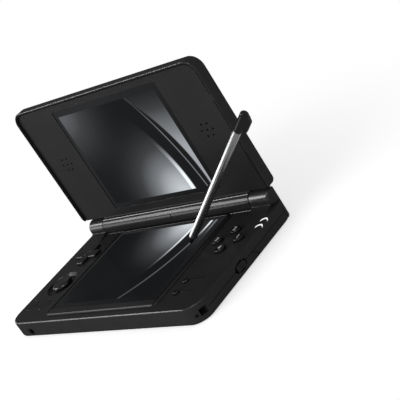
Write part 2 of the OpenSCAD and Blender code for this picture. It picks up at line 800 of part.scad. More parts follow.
module stick_carriage() color("#3a3a3c") place(-stick_x, stick_mid, carriage_z) difference() {
  translate([-carriage_w / 2, -carriage_d / 2, 0]) cube([carriage_w, carriage_d, carriage_t]);
  stem_way = stick_stem_r + stem_play;
  translate([-stem_way, -stem_way - stick_travel, -past]) cube([2 * stem_way, 2 * (stem_way + stick_travel), 3 * past]);
}

module stick_cap() color(control_colour) place(-stick_x, stick_mid, 0) rotate_extrude($fn = 64)
  polygon(concat([[0, carriage_z + 0.05], [stick_stem_r, carriage_z + 0.05], [stick_stem_r, stick_floor_z + 0.3],
    [stick_cap_r - 0.6, stick_floor_z + 0.3]], [for (i = [0 : 5]) let (a = i * 75 / 5)
    [stick_cap_r - 1.6 + 1.6 * cos(a), deck_z - 0.2 + 1.5 * sin(a)]],
    [[stick_cap_r - 2.6, deck_z + 1.1], [2, deck_z + 1], [0, deck_z + 0.9]]));

// Lid
module lid_place() {
  translate([0, axis_y, axis_z]) rotate([180 - lid_angle, 0, 0]) children();
}

module lid_recess_plan(from, to, shrink) {
  w = base_w - 2 * (rim_w + shrink);
  top = lid_top - rim_w - shrink;
  translate([0, 0, from]) linear_extrude(to - from) {
    translate([0, lid_bottom + (top - lid_bottom) / 2]) rounded_rect(w, top - lid_bottom, lid_corner_r - rim_w - shrink);
    translate([-w / 2, lid_bottom - (shrink > 0 ? 0 : past)]) square([w, lid_h / 2]);
  }
}

module lid_back_cover() color(shell_colour) lid_place() difference() {
  translate([0, lid_bottom + lid_h / 2, lid_back_z])
    soft_slab(base_w, lid_h, lid_t, lid_foot_r, lid_corner_r, lid_back_r, 0.5);
  lid_recess_plan(panel_under, rim_z + past, 0);
  translate([0, lid_wall, 0]) intersection() {
    lid_recess_plan(lid_back_z + lid_wall, rim_z, ledge);
    translate([0, lid_bottom + lid_h / 2 - ledge, lid_back_z]) rounded_plate(base_w, lid_h - 2 * ledge, lid_t, 1);
  }
  for (s = [-1, 1]) translate([s * (side_x - rim_w) - notch_d, notch_s - notch_l / 2, rim_z - notch_drop])
    cube([2 * notch_d, notch_l, rim_h]);
}

module speaker_places() {
  for (s = [-1, 1]) translate([s * speaker_x, speaker_s, 0]) children();
}

module lid_inner_panel() color(shell_colour) lid_place() difference() {
  lid_recess_plan(panel_under, panel_z, 0.02);
  translate([0, upper_mid, upper_top - glass_t])
    rounded_plate(glass_w + 2 * upper_gap, glass_h + 2 * upper_gap, past + glass_t, glass_corner_r);
  translate([0, upper_mid, panel_under - past]) rounded_plate(lcd_w + 2 * lcd_gap, lcd_h + 2 * lcd_gap, 3 * past, 0.6);
  speaker_places() {
    translate([0, 0, panel_under - past]) cylinder(r = speaker_hole_r, h = 4 * past, $fn = 24);
    for (a = [0 : 60 : 300]) rotate(a) translate([speaker_ring, 0, panel_under - past])
      cylinder(r = speaker_hole_r, h = 4 * past, $fn = 24);
  }
}

module hinge_barrel() color(shell_colour) lid_place() difference() {
  union() {
    translate([-barrel_w / 2, 0, 0]) rotate([0, 90, 0]) cylinder(r = barrel_r, h = barrel_w, $fn = 64);
    translate([-barrel_w / 2, 0, neck_low]) cube([barrel_w, lid_bottom, neck_high - neck_low]);
  }
  for (s = [-1, 1]) sided(s) translate([barrel_w / 2 - pin_in_barrel - seam, 0, 0]) rotate([0, 90, 0])
    cylinder(r = pin_r + pin_play, h = pin_in_barrel + past, $fn = smooth);
  translate([-mic_w / 2, -mic_side / 2, barrel_r - mic_side - 1]) cube([mic_w, mic_side, mic_side]);
  translate([-mic_slit_w / 2, -mic_slit_h / 2, barrel_r - 1 - eps]) cube([mic_slit_w, mic_slit_h, 2 * past]);
}

module microphone() color(metal_colour) lid_place()
  translate([-mic_w / 2, -mic_side / 2, barrel_r - mic_side - 1]) cube([mic_w, mic_side, mic_side]);

module upper_glass() color(glass_colour) lid_place() translate([0, upper_mid, upper_top - glass_t])
  rounded_plate(glass_w, glass_h, glass_t, glass_corner_r - upper_gap);

module upper_display() color(metal_colour) lid_place() translate([0, upper_mid, upper_top - glass_t - lcd_t])
  rounded_plate(lcd_w, lcd_h, lcd_t, 0.5);

module speaker(side) color("#3a3a3c") lid_place() translate([side * speaker_x, speaker_s, panel_under - speaker_t])
  cylinder(r = speaker_r, h = speaker_t, $fn = smooth);
module left_speaker() speaker(-1);
module right_speaker() speaker(1);

module display_cable() color("#b07a2a") lid_place()
  translate([-cable_w / 2, upper_mid - lcd_h / 2 - 2, upper_top - glass_t - lcd_t - cable_t]) cube([cable_w, cable_l, cable_t]);

module lid_magnet() color(metal_colour) lid_place()
  translate([magnet_x, magnet_s, panel_under - magnet_t]) cylinder(r = magnet_r, h = magnet_t, $fn = smooth);

// Stylus, built upright and leaned over its tip
module stylus_place() {
  place(tip_x, tip_front, touch_top + tip_lift) rotate([0, 0, stylus_turn])
    rotate([0, 90 - stylus_lean, 0]) children();
}

module stylus_tip() color(shell_colour) stylus_place() rotate_extrude($fn = smooth)
  polygon(concat([for (i = [0 : 4]) let (a = i * 90 / 4 - 90) [tip_r * cos(a), tip_r + tip_r * sin(a)]],
    [[stylus_r - 0.4, tip_l], [0, tip_l]]));

module stylus_barrel() color(metal_colour) stylus_place() translate([0, 0, tip_l])
  cylinder(r = stylus_r, h = stylus_l - tip_l - cap_l, $fn = smooth);

module stylus_cap() color(shell_colour) stylus_place() translate([0, 0, stylus_l - cap_l]) {
  rotate_extrude($fn = smooth) polygon(concat([[0, 0], [stylus_r + 0.15, 0]],
    [for (i = [0 : 3]) let (a = i * 30) [stylus_r - 0.85 + cos(a), cap_l - 1 + sin(a)]], [[0, cap_l]]));
  // Fin that holds it in its silo, with a sloping top
  translate([0, fin_t / 2, 0]) rotate([90, 0, 0]) linear_extrude(fin_t)
    polygon([[0, cap_l - fin_low], [stylus_r + fin_out, cap_l - fin_low], [stylus_r + fin_out, cap_l - fin_slope],
      [stylus_r - 0.4, cap_l - 0.6], [0, cap_l - 0.6]]);
}

base_top_shell();
base_bottom_shell();
touch_glass();
lower_display();
shield_plate();
main_board();
board_chips();
battery();
left_rubber_pad();
right_rubber_pad();
led_lens_front();
led_lens_rear();
headphone_socket();
power_socket();
card_connector();
stick_housing();
bottom_screws();
hinge_pin_left();
hinge_pin_right();
volume_switch();
slide_switch();
d_pad_pivot();
d_pad();
face_button_front();
face_button_right();
face_button_rear();
face_button_left();
menu_button_front();
menu_button_rear();
round_button_outer();
round_button_inner();
left_shoulder_button();
right_shoulder_button();
side_slider();
volume_rocker();
stick_carriage();
stick_cap();
lid_back_cover();
lid_inner_panel();
hinge_barrel();
upper_glass();
upper_display();
left_speaker();
right_speaker();
microphone();
display_cable();
lid_magnet();
stylus_barrel();
stylus_tip();
stylus_cap();
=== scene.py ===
import json
from math import copysign, cos, hypot, pi, radians, sin, sqrt

import bmesh
import bpy
from mathutils import Matrix, Vector


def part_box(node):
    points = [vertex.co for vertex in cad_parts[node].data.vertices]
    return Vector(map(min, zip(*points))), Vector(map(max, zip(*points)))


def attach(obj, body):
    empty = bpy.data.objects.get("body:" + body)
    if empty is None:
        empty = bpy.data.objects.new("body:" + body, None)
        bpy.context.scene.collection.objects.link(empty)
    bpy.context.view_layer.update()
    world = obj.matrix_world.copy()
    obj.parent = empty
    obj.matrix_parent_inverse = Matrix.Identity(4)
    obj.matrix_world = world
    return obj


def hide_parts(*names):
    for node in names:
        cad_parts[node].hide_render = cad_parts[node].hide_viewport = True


# Lengths below are millimetres in the CAD frame: X along the width, Y from front to hinge, Z up.
mm = 0.001
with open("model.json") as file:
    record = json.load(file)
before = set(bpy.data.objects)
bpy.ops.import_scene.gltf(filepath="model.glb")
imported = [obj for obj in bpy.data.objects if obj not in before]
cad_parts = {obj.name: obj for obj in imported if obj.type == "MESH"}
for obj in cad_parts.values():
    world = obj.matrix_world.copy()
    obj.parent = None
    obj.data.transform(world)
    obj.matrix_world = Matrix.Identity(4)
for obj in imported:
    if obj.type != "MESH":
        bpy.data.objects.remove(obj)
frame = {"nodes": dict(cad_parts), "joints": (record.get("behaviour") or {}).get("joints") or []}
nodes = frame["nodes"]
joints = {joint["name"]: joint for joint in frame["joints"]}
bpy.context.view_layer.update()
print("frame loaded")


def inScene(name, data):
    thing = bpy.data.objects.new(name, data)
    bpy.context.scene.collection.objects.link(thing)
    return thing


camera = {
    "azimuth": 50.91,
    "elevation": 19.98,
    "roll": -33.22,
    "distance": 558.3,
    "target": (80.73, -5.7, 46.38),
    "focal": 1144.2,  # in pixels of the 400 pixel wide photograph
    "imageWidth": 400,
    "sensor": 36,
}


def makeCamera(spec):
    azimuth, elevation, roll = (radians(spec[key]) for key in ("azimuth", "elevation", "roll"))
    back = Vector((
        sin(azimuth) * cos(elevation),
        -cos(azimuth) * cos(elevation),
        sin(elevation),
    ))
    level = Vector((cos(azimuth), sin(azimuth), 0))
    up = back.cross(level)
    right = cos(roll) * level + sin(roll) * up
    tilted = -sin(roll) * level + cos(roll) * up
    data = bpy.data.cameras.new("photoCamera")
    data.sensor_width = spec["sensor"]
    data.lens = spec["focal"] / spec["imageWidth"] * spec["sensor"]
    data.clip_start = 0.01
    data.clip_end = 20
    cam = inScene("photoCamera", data)
    place = (Vector(spec["target"]) + back * spec["distance"]) * mm
    cam.matrix_world = Matrix.Translation(place) @ Matrix((right, tilted, back)).transposed().to_4x4()
    bpy.context.scene.camera = cam


makeCamera(camera)

# Mesh helpers


def newPiece(name, verts, faces):
    mesh = bpy.data.meshes.new(name)
    mesh.from_pydata([Vector(v) * mm for v in verts], [], faces)
    mesh.update()
    return inScene(name, mesh)


def arc(centreX, centreY, radius, start, end, steps=6):
    angles = [radians(start + (end - start) * i / steps) for i in range(steps + 1)]
    return [(centreX + radius * cos(angle), centreY + radius * sin(angle)) for angle in angles]


def roundedLoop(width, depth, frontRadius, backRadius, inset=0, steps=12):
    loop = []
    quarters = ((1, 1, 0, backRadius), (-1, 1, 90, backRadius),
                (-1, -1, 180, frontRadius), (1, -1, 270, frontRadius))
    for signX, signY, start, radius in quarters:
        shift = max(inset - radius, 0)
        reach = max(radius - inset, 0.02)
        centreX = signX * (width / 2 - radius - shift)
        centreY = signY * (depth / 2 - radius - shift)
        loop += arc(centreX, centreY, reach, start, start + 90, steps)
    return loop


def crossLoop(reach, arm, inset=0):
    # Outline of the direction pad: four arms with rounded tips and small inner fillets
    steps = 5
    inner = controls["padFillet"] + inset
    half = arm / 2 - inset
    tip = reach / 2 - inset
    radius = max(controls["padTip"] - inset, 0.05)
    quarter = arc(tip - radius, half - radius, radius, 0, 90, steps)
    quarter += arc(half + inner, half + inner, inner, 270, 180, steps)
    quarter += arc(half - radius, tip - radius, radius, 0, 90, steps)
    loop = []
    for cosine, sine in ((1, 0), (0, 1), (-1, 0), (0, -1)):
        loop += [(x * cosine - y * sine, x * sine + y * cosine) for x, y in quarter]
    return loop


def pillLoop(length, width, inset):
    half, radius, steps = (length - width) / 2, width / 2 - inset, 10
    return arc(half, 0, radius, -90, 90, steps) + arc(-half, 0, radius, 90, 270, steps)


def edgeRound(radius, level, steps, top=True):
    # (inset, height) points of a rounded edge that ends at the level, or begins there
    turns = [(radius * cos(angle), radius * sin(angle))
             for angle in (radians(90 * i / steps) for i in range(steps + 1))]
    if top:
        return [(radius - along, level - radius + borderLight) for along, borderLight in turns]
    return [(radius - borderLight, level + radius - along) for along, borderLight in turns]


def loft(name, rings):
    # rings: (loop of points, height) from low to high
    verts = []
    for points, height in rings:
        verts += [(x, y, height) for x, y in points]
    count = len(rings[0][0])
    faces = [tuple(reversed(range(count)))]
    for level in range(len(rings) - 1):
        low = level * count
        for i in range(count):
            j = (i + 1) % count
            faces.append((low + i, low + j, low + count + j, low + count + i))
    faces.append(tuple(range(len(verts) - count, len(verts))))
    return newPiece(name, verts, faces)


def slab(name, width, depth, radii, profile, steps=12):
    # profile: (inset, height) pairs from low to high
    return loft(name, [(roundedLoop(width, depth, *radii, inset, steps), height)
                       for inset, height in profile])


def box(name, low, high):
    loop = [(low[0], low[1]), (high[0], low[1]), (high[0], high[1]), (low[0], high[1])]
    return loft(name, [(loop, low[2]), (loop, high[2])])


def pillBlock(length, width, low, high, rounding=0, steps=4):
    # A pill standing along Z, with an edge rounding on top
    top = edgeRound(rounding, high, steps) if rounding else [(0, high)]
    return loft("pill", [(pillLoop(length, width, inset), height) for inset, height in [(0, low), *top]])


def revolve(name, profile, steps=64):
    # profile: (radius, height) pairs from the lower pole to the upper one
    verts, faces, rings = [], [], []
    for radius, height in profile:
        first = len(verts)
        if radius < 1e-6:
            verts.append((0, 0, height))
            rings.append([first])
            continue
        angles = [2 * pi * i / steps for i in range(steps)]
        verts += [(radius * cos(angle), radius * sin(angle), height) for angle in angles]
        rings.append(list(range(first, first + steps)))
    for low, high in zip(rings, rings[1:]):
        for i in range(steps):
            j = (i + 1) % steps
            if len(low) == 1 and len(high) == 1:
                continue
            if len(low) == 1:
                faces.append((low[0], high[j], high[i]))
            elif len(high) == 1:
                faces.append((low[i], low[j], high[0]))
            else:
                faces.append((low[i], low[j], high[j], high[i]))
    return newPiece(name, verts, faces)


def cylinder(name, radius, low, high, steps):
    return revolve(name, [(0, low), (radius, low), (radius, high), (0, high)], steps)


def moved(piece, matrix):
    # matrix is in millimetres, applied to the mesh
    scaled = matrix.copy()
    scaled.translation = matrix.translation * mm
    piece.data.transform(scaled)
    piece.data.update()
    return piece


def at(piece, x, y, z=0):
    return moved(piece, Matrix.Translation((x, y, z)))


def turned(degrees, axis):
    return Matrix.Rotation(radians(degrees), 4, axis)


def spot(x, y, z, degrees, axis):
    return Matrix.Translation((x, y, z)) @ turned(degrees, axis)


# Turns a loft of (Y, Z) outlines to run along X
alongX = Matrix(((0, 0, 1, 0), (1, 0, 0, 0), (0, 1, 0, 0), (0, 0, 0, 1)))


def mirrored(piece):
    moved(piece, Matrix.Scale(-1, 4, (1, 0, 0)))
    piece.data.flip_normals()
    return piece


def copied(piece):
    twin = piece.copy()
    twin.data = piece.data.copy()
    bpy.context.scene.collection.objects.link(twin)
    return twin


def bake(piece):
    graph = bpy.context.evaluated_depsgraph_get()
    mesh = bpy.data.meshes.new_from_object(piece.evaluated_get(graph), depsgraph=graph)
    piece.modifiers.clear()
    old = piece.data
    piece.data = mesh
    bpy.data.meshes.remove(old)
    return piece


def drop(piece):
    mesh = piece.data
    bpy.data.objects.remove(piece)
    if mesh.users == 0:
        bpy.data.meshes.remove(mesh)


def combine(piece, others, operation):
    for other in others:
        step = piece.modifiers.new("combine", "BOOLEAN")
        step.operation = operation
        step.solver = "MANIFOLD"
        step.object = other
    bake(piece)
    for other in others:
        drop(other)
    return piece


def cut(piece, cutters):
    return combine(piece, cutters, "DIFFERENCE")


def fuse(piece, others):
    return combine(piece, others, "UNION")


def keepInside(piece, others):
    return combine(piece, others, "INTERSECT")


def reshaped(piece, *steps):
    # Runs steps on the mesh, each a function of the open shape
    shape = bmesh.new()
    shape.from_mesh(piece.data)
    for step in steps:
        step(shape)
    shape.to_mesh(piece.data)
    shape.free()
    return piece


def faceOutward(piece):
    return reshaped(piece, lambda shape: bmesh.ops.recalc_face_normals(shape, faces=shape.faces))


sharpAngle = 32


def finish(piece, material, body, replaced):
    # Closes doubles, shades by angle and hands the piece to its body
    reshaped(piece, lambda shape: bmesh.ops.remove_doubles(shape, verts=shape.verts, dist=1e-7),
             lambda shape: bmesh.ops.dissolve_degenerate(shape, dist=1e-7, edges=shape.edges))
    piece.data.shade_smooth()
    piece.data.set_sharp_from_angle(angle=radians(sharpAngle))
    weight = piece.modifiers.new("weightedNormals", "WEIGHTED_NORMAL")
    weight.keep_sharp = True
    bake(piece)
    piece.data.materials.clear()
    piece.data.materials.append(material)
    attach(piece, body)
    if replaced:
        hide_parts(*replaced)
    return piece


def dressFaces(piece, material, chosen, place=Matrix.Identity(4)):
    # Gives some faces of a moulding another finish; chosen gets a face's middle in mm and its normal
    piece.data.materials.append(material)
    index = len(piece.data.materials) - 1
    back = place.copy()
    back.translation = place.translation * mm
    back.invert()
    turn = back.to_3x3()
    for face in piece.data.polygons:
        if chosen((back @ face.center) / mm, turn @ face.normal):
            face.material_index = index


# Node helpers


def wire(tree, node, inputs):
    # A socket, or a node's first output, is linked to the input; anything else becomes its value
    for key, value in inputs.items():
        value = value.outputs[0] if hasattr(value, "outputs") else value
        if hasattr(value, "is_output"):
            tree.links.new(value, node.inputs[key])
        else:
            node.inputs[key].default_value = value


def add(tree, kind, inputs=None, **settings):
    node = tree.nodes.new(kind)
    for key, value in settings.items():
        setattr(node, key, value)
    wire(tree, node, inputs or {})
    return node


def maths(tree, operation, first, second=None):
    inputs = {0: first} if second is None else {0: first, 1: second}
    return add(tree, "ShaderNodeMath", inputs, operation=operation)


def product(tree, first, *others):
    for other in others:
        first = maths(tree, "MULTIPLY", first, other)
    return first


def total(tree, first, *others):
    for other in others:
        first = maths(tree, "ADD", first, other)
    return first


def blend(tree, first, second, share):
    return total(tree, product(tree, first, share), product(tree, second, 1 - share))


def mapped(tree, value, fromLow, fromHigh, toLow, toHigh, smooth=True):
    inputs = {"Value": value, "From Min": fromLow, "From Max": fromHigh, "To Min": toLow, "To Max": toHigh}
    kind = "SMOOTHSTEP" if smooth else "LINEAR"
    return add(tree, "ShaderNodeMapRange", inputs, interpolation_type=kind)


def noise(tree, scale, detail, rough, stretch=(1, 1, 1)):
    coord = add(tree, "ShaderNodeTexCoord").outputs["Object"]
    mapping = add(tree, "ShaderNodeMapping", {"Vector": coord, "Scale": stretch})
    inputs = {"Vector": mapping, "Scale": scale, "Detail": detail, "Roughness": rough}
    return add(tree, "ShaderNodeTexNoise", inputs)


def ramp(tree, value, stops):
    node = add(tree, "ShaderNodeValToRGB", {0: value})
    elements = node.color_ramp.elements
    while len(elements) < len(stops):
        elements.new(0.5)
    for element, (position, colour) in zip(elements, stops):
        element.position = position
        element.color = (*colour, 1)
    return node


def toneRamp(tree, value, dark, light, tint=(1, 1, 1), lightTint=None):
    # Two greys over the middle of a noise, each with its tint
    stops = ((0.3, dark, tint), (0.7, light, lightTint or tint))
    return ramp(tree, value, [(position, [level * share for share in hue]) for position, level, hue in stops])


def bump(tree, height, strength, distance):
    return add(tree, "ShaderNodeBump", {"Height": height, "Strength": strength, "Distance": distance})


# Materials


def nodeTree(name):
    material = bpy.data.materials.new(name)
    material.use_nodes = True
    return material, material.node_tree, material.node_tree.nodes["Principled BSDF"]


def moulded(name, dark, light, rough, coat, coatRough, grain=5200, depth=0.00001, tint=(1, 1, 1),
            coatIor=1.5):
    # Moulded plastic: a fine eroded grain, slow tone changes and faint handling marks under a thin sheen
    material, tree, shader = nodeTree(name)
    slow = noise(tree, 45, 4, 0.6)
    fine = noise(tree, grain, 2, 0.5)
    marks = noise(tree, 260, 5, 0.7, (1, 0.35, 1))
    raised = bump(tree, fine, 0.35, depth)
    wire(tree, shader, {
        "Base Color": toneRamp(tree, blend(tree, slow, fine, 0.75), dark, light, tint),
        "Roughness": mapped(tree, blend(tree, slow, marks, 0.6), 0.3, 0.7, *rough),
        "Specular IOR Level": 0.0,
        "Coat Weight": coat,
        "Coat Roughness": coatRough,
        "Coat IOR": coatIor,
        "Normal": raised,
        "Coat Normal": raised,
    })
    return material


def metalFinish(name, dark, light, rough, stretch, scale=900, metallic=1.0):
    # Drawn or brushed metal: streaks along one direction
    material, tree, shader = nodeTree(name)
    streak = noise(tree, scale, 4, 0.6, stretch)
    tone = blend(tree, streak, noise(tree, 120, 3, 0.5), 0.6)
    wire(tree, shader, {
        "Base Color": toneRamp(tree, tone, dark, light, lightTint=(1, 1.01, 1.03)),
        "Roughness": mapped(tree, streak, 0.3, 0.7, *rough),
        "Metallic": metallic,
        "Normal": bump(tree, streak, 0.12, 0.00001),
    })
    return material


shellPlastic = moulded("shellPlastic", 0.022, 0.028, (0.4, 0.55), 0.035, 0.21, coatIor=2.6)
# Slightly lighter, much glossier copy of the shell for edges that face the key light: a painted highlight
edgeHighlightPlastic = moulded("edgeHighlightPlastic", 0.024, 0.03, (0.3, 0.4), 0.34, 0.16, depth=0.000001)
controlPlastic = moulded("controlPlastic", 0.011, 0.015, (0.3, 0.4), 0.08, 0.1, 7000, 0.000003, coatIor=2.6)
softPlastic = moulded("softPlastic", 0.018, 0.024, (0.35, 0.45), 0.035, 0.13, 7000, 0.000004, coatIor=2.6)
glossPlastic = moulded("glossPlastic", 0.004, 0.006, (0.2, 0.3), 0.25, 0.08, 7000, 0.000002)
barrelPlastic = moulded("barrelPlastic", 0.022, 0.027, (0.35, 0.45), 0.21, 0.15, depth=0.000002)
# Lighter, very glossy finish for the barrel rib: a painted highlight
ribHighlightPlastic = moulded("ribHighlightPlastic", 0.03, 0.04, (0.4, 0.5), 0.9, 0.3, depth=0.000002)
# Near-black for grooves and hole walls: painted shade
paintedShadePlastic = moulded("paintedShadePlastic", 0.003, 0.005, (0.6, 0.7), 0.0, 0.3)
socketPlastic = moulded("socketPlastic", 0.008, 0.013, (0.4, 0.55), 0.15, 0.3)
whitePrint = moulded("whitePrint", 0.62, 0.7, (0.4, 0.5), 0.2, 0.2)
lampWhite = moulded("lampWhite", 0.8, 0.88, (0.3, 0.4), 0.2, 0.1, 2500, 0.000003)
wire(lampWhite.node_tree, lampWhite.node_tree.nodes["Principled BSDF"],
     {"Emission Color": (1, 1, 1, 1), "Emission Strength": 0.6})
padRubber = moulded("padRubber", 0.07, 0.1, (0.6, 0.75), 0.1, 0.4, depth=0.00002)
chipBlack = moulded("chipBlack", 0.012, 0.018, (0.45, 0.6), 0.2, 0.3)
batteryWrap = moulded("batteryWrap", 0.02, 0.035, (0.3, 0.4), 0.5, 0.2, tint=(0.85, 1, 1.1))
boardGreen = moulded("boardGreen", 0.012, 0.05, (0.35, 0.5), 0.5, 0.2, 1500, tint=(0.28, 1, 0.5))
cableFilm = moulded("cableFilm", 0.25, 0.34, (0.3, 0.4), 0.5, 0.15, tint=(1, 0.6, 0.18))
steel = metalFinish("steel", 0.42, 0.58, (0.28, 0.42), (1, 1, 0.2))
stylusMetal = metalFinish("stylusMetal", 0.14, 0.18, (0.2, 0.26), (0.15, 1, 1), scale=1400, metallic=0.85)
print("materials ready")

# Sizes that several pieces share


def corners(node):
    low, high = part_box(node)
    return [value / mm for value in low], [value / mm for value in high]


baseLow, baseHigh = corners("base_bottom_shell")
glassLow, glassHigh = corners("touch_glass")
axisY, axisZ = (value / mm for value in joints["lid_hinge"]["pos_m"][1:])
lidAngle = -joints["lid_hinge"]["range_deg"][0]

shell = {
    "width": baseHigh[0] - baseLow[0],
    "depth": baseHigh[1] - baseLow[1],
    "splitZ": baseHigh[2],
    "deckZ": 10.7,
    "corner": 10,
    "deckEdge": 0.8,
    "footEdge": 2,
    "wall": 1.5,
    "floor": 1.3,
    "partingDepth": 0.5,  # groove between the two halves, along the sides and the rear
    "partingHalf": 0.17,
    "partingFrom": 9,
    "partingTo": 84,
    "partingRear": 52,
}
frontY = baseLow[1]
rearY = baseHigh[1]
sideX = baseHigh[0]
deckZ = shell["deckZ"]
splitZ = shell["splitZ"]
deckUnder = deckZ - shell["wall"]
lidPlace = spot(0, axisY, axisZ, 180 - lidAngle, "X")


def fromFront(distance):
    return frontY + distance


def shellSlab(name, profile):
    return slab(name, shell["width"], shell["depth"], (shell["corner"],) * 2, profile, 14)


def sidePlace(side, distance, inset, height):
    # Local X runs along the side, local Z points out of it
    return spot(side * (sideX - inset), fromFront(distance), height, 90 * side, "Z") @ turned(90, "X")


def onAxis(x):
    return spot(x, axisY, axisZ, 90, "Y")


raisedFrame = {
    "width": 96,
    "front": 4.5,
    "rear": 79.8,
    "height": 1.2,
    "slope": 1.3,
    "corner": 3,
    "foot": 0.3,  # small fillet where the slope meets the deck
    "seamFrom": 46.1,  # groove beside the glass, painted near-black as shade
    "seamTo": 46.8,
    "seamDepth": 0.5,
}
frameZ = deckZ + raisedFrame["height"]

hinge = {
    "radius": 5.4,
    "barrelLength": 126,
    "knuckleSpan": 155,
    "chamfer": 1.5,
    "seam": 0.3,
    "gap": 0.4,
    "pinRadius": 2,
    "pinInKnuckle": 10,
    "pinInBarrel": 12,
    "rampDepth": 12.2,
    "rampLength": 6.2,
    "rampHeight": 1.5,
}
knuckleIn = hinge["barrelLength"] / 2 + hinge["seam"]
knuckleOut = hinge["knuckleSpan"] / 2

# Rounded lips on the deck before the knuckles
hingeLip = {"from": 46, "short": 1.3, "radius": 0.5, "behind": 1.1, "up": 0.12}

glass = {
    "width": glassHigh[0] - glassLow[0],
    "height": glassHigh[1] - glassLow[1],
    "thickness": 0.9,
    "corner": 1.05,
    "gap": 0.15,
    "touchMiddle": (glassLow[1] + glassHigh[1]) / 2 - frontY,
    "displayWidth": 88.4,
    "displayHeight": 66.8,
}
touchTop = glassHigh[2]

controls = {
    "gap": 0.3, "lip": 0.14,
    "faceX": 63.3, "faceMiddle": 55.4, "faceSpread": 7.8, "faceRadius": 3.1, "faceHeight": 1.6,
    "padX": -61.8, "padMiddle": 60.6, "padSpan": 18.6, "padArm": 6.4, "padHeight": 1.5,
    "padTip": 1, "padFillet": 0.5,
    "menuX": 56, "menuFront": 14.4, "menuPitch": 9.3, "menuRadius": 1.7, "menuHeight": 1.0,
    "roundX": -73, "roundFront": 15.6, "roundPitch": 12, "roundRadius": 4.5, "roundHeight": 0.2,
    "stickX": -62.5, "stickMiddle": 34.5, "recess": 10, "recessDepth": 1.7, "stem": 2, "stickTravel": 1.8,
}
padPlace = controls["padX"], fromFront(controls["padMiddle"])
stickPlace = controls["stickX"], fromFront(controls["stickMiddle"])
recessZ = deckZ - controls["recessDepth"]


def facePlace(i):
    # From the right one round to the front one
    angle = radians(90 * i)
    return (controls["faceX"] + controls["faceSpread"] * cos(angle),
            fromFront(controls["faceMiddle"]) + controls["faceSpread"] * sin(angle))


def menuPlace(i):
    return controls["menuX"], fromFront(controls["menuFront"] + i * controls["menuPitch"])


def roundPlace(i):
    return controls["roundX"] + i * controls["roundPitch"], fromFront(controls["roundFront"])


sideParts = {
    "height": 5.2, "slot": 0.3, "sunk": 1.5,
    "sliderMiddle": 39, "sliderLength": 7.4, "slideWay": 1,
    "rockerMiddle": 43, "rockerLength": 20,
    "width": 3.6, "proud": 0.7, "edge": 0.4, "flange": 0.9,
}

sockets = {
    "jackX": -63.3, "jackZ": 3.9, "jackRadius": 1.8, "jackWall": 0.9,
    "cardWidth": 33.6, "cardHeight": 4.3, "cardWall": 0.55,
    "powerX": 36, "powerWidth": 7.4, "powerHeight": 2.6,
    "strapSide": 4, "strapFront": 5.5, "strapDepth": 5.9, "strapZ": 5.4, "strapBore": 0.9, "strapBoreZ": 4.8,
    "screwX": 71, "screwFront": 6.2, "screwHead": 2.2, "screwBore": 1.2, "screwBoss": 2.8,
}

shoulder = {
    "width": 16.6, "lowWidth": 10, "depth": 6.6, "top": 7.9, "lowTop": 6.4, "gap": 0.8,
    "foot": 0.5, "edge": 0.35, "pinRadius": 0.9, "pinIn": 2.2, "pinBehind": 2.4,
}

# Outline of the fingernail notch: distance from the front and height
sideNotch = [(48.8, -1), (55, -1), (54.6, 1.6), (50.6, 5.1), (49.4, 5.1)]

lights = {
    "radius": 1.9, "middle": 67.2, "pitch": 5.3, "lean": 45, "inset": 1.9, "down": 0.35, "length": 3.4,
    "capRadius": 1.84, "capForward": 1.235, "capAside": 0.39,
}


def lightPlace(i):
    y = fromFront(lights["middle"] + (i - 0.5) * lights["pitch"])
    return spot(sideX - lights["inset"], y, deckZ - lights["down"], lights["lean"], "Y")


def post(x, y, radius, low, high, steps=48):
    return at(cylinder("cutter", radius, low, high, steps), x, y)


def screwPost(side, radius, low, high, steps=48):
    return post(side * sockets["screwX"], fromFront(sockets["screwFront"]), radius, low, high, steps)


def shoulderPost(side, radius, low, high):
    x = side * (sideX - shoulder["width"] - shoulder["lowWidth"] + shoulder["pinIn"])
    return post(x, rearY - shoulder["pinBehind"], radius, low, high, 32)


def shoulderBlank(side, grow, low, high):
    front = rearY - shoulder["depth"] - (shoulder["gap"] if grow else 0)
    lowHigh = high - shoulder["top"] + shoulder["lowTop"]
    inner = sideX - shoulder["width"]
    blank = box("blank", (inner - grow, front, low), (sideX + 1, rearY + 4, high))
    tail = box("blank", (inner - shoulder["lowWidth"] - grow, front, low), (inner + 0.01, rearY + 4, lowHigh))
    blank = fuse(blank, [tail])
    wide = slab("blank", shell["width"] + 4 * grow, shell["depth"] + 4 * grow,
                (shell["corner"] + 2 * grow,) * 2, [(0, low - 0.5), (0, high + 0.5)])
    blank = keepInside(blank, [wide])
    return mirrored(blank) if side < 0 else blank


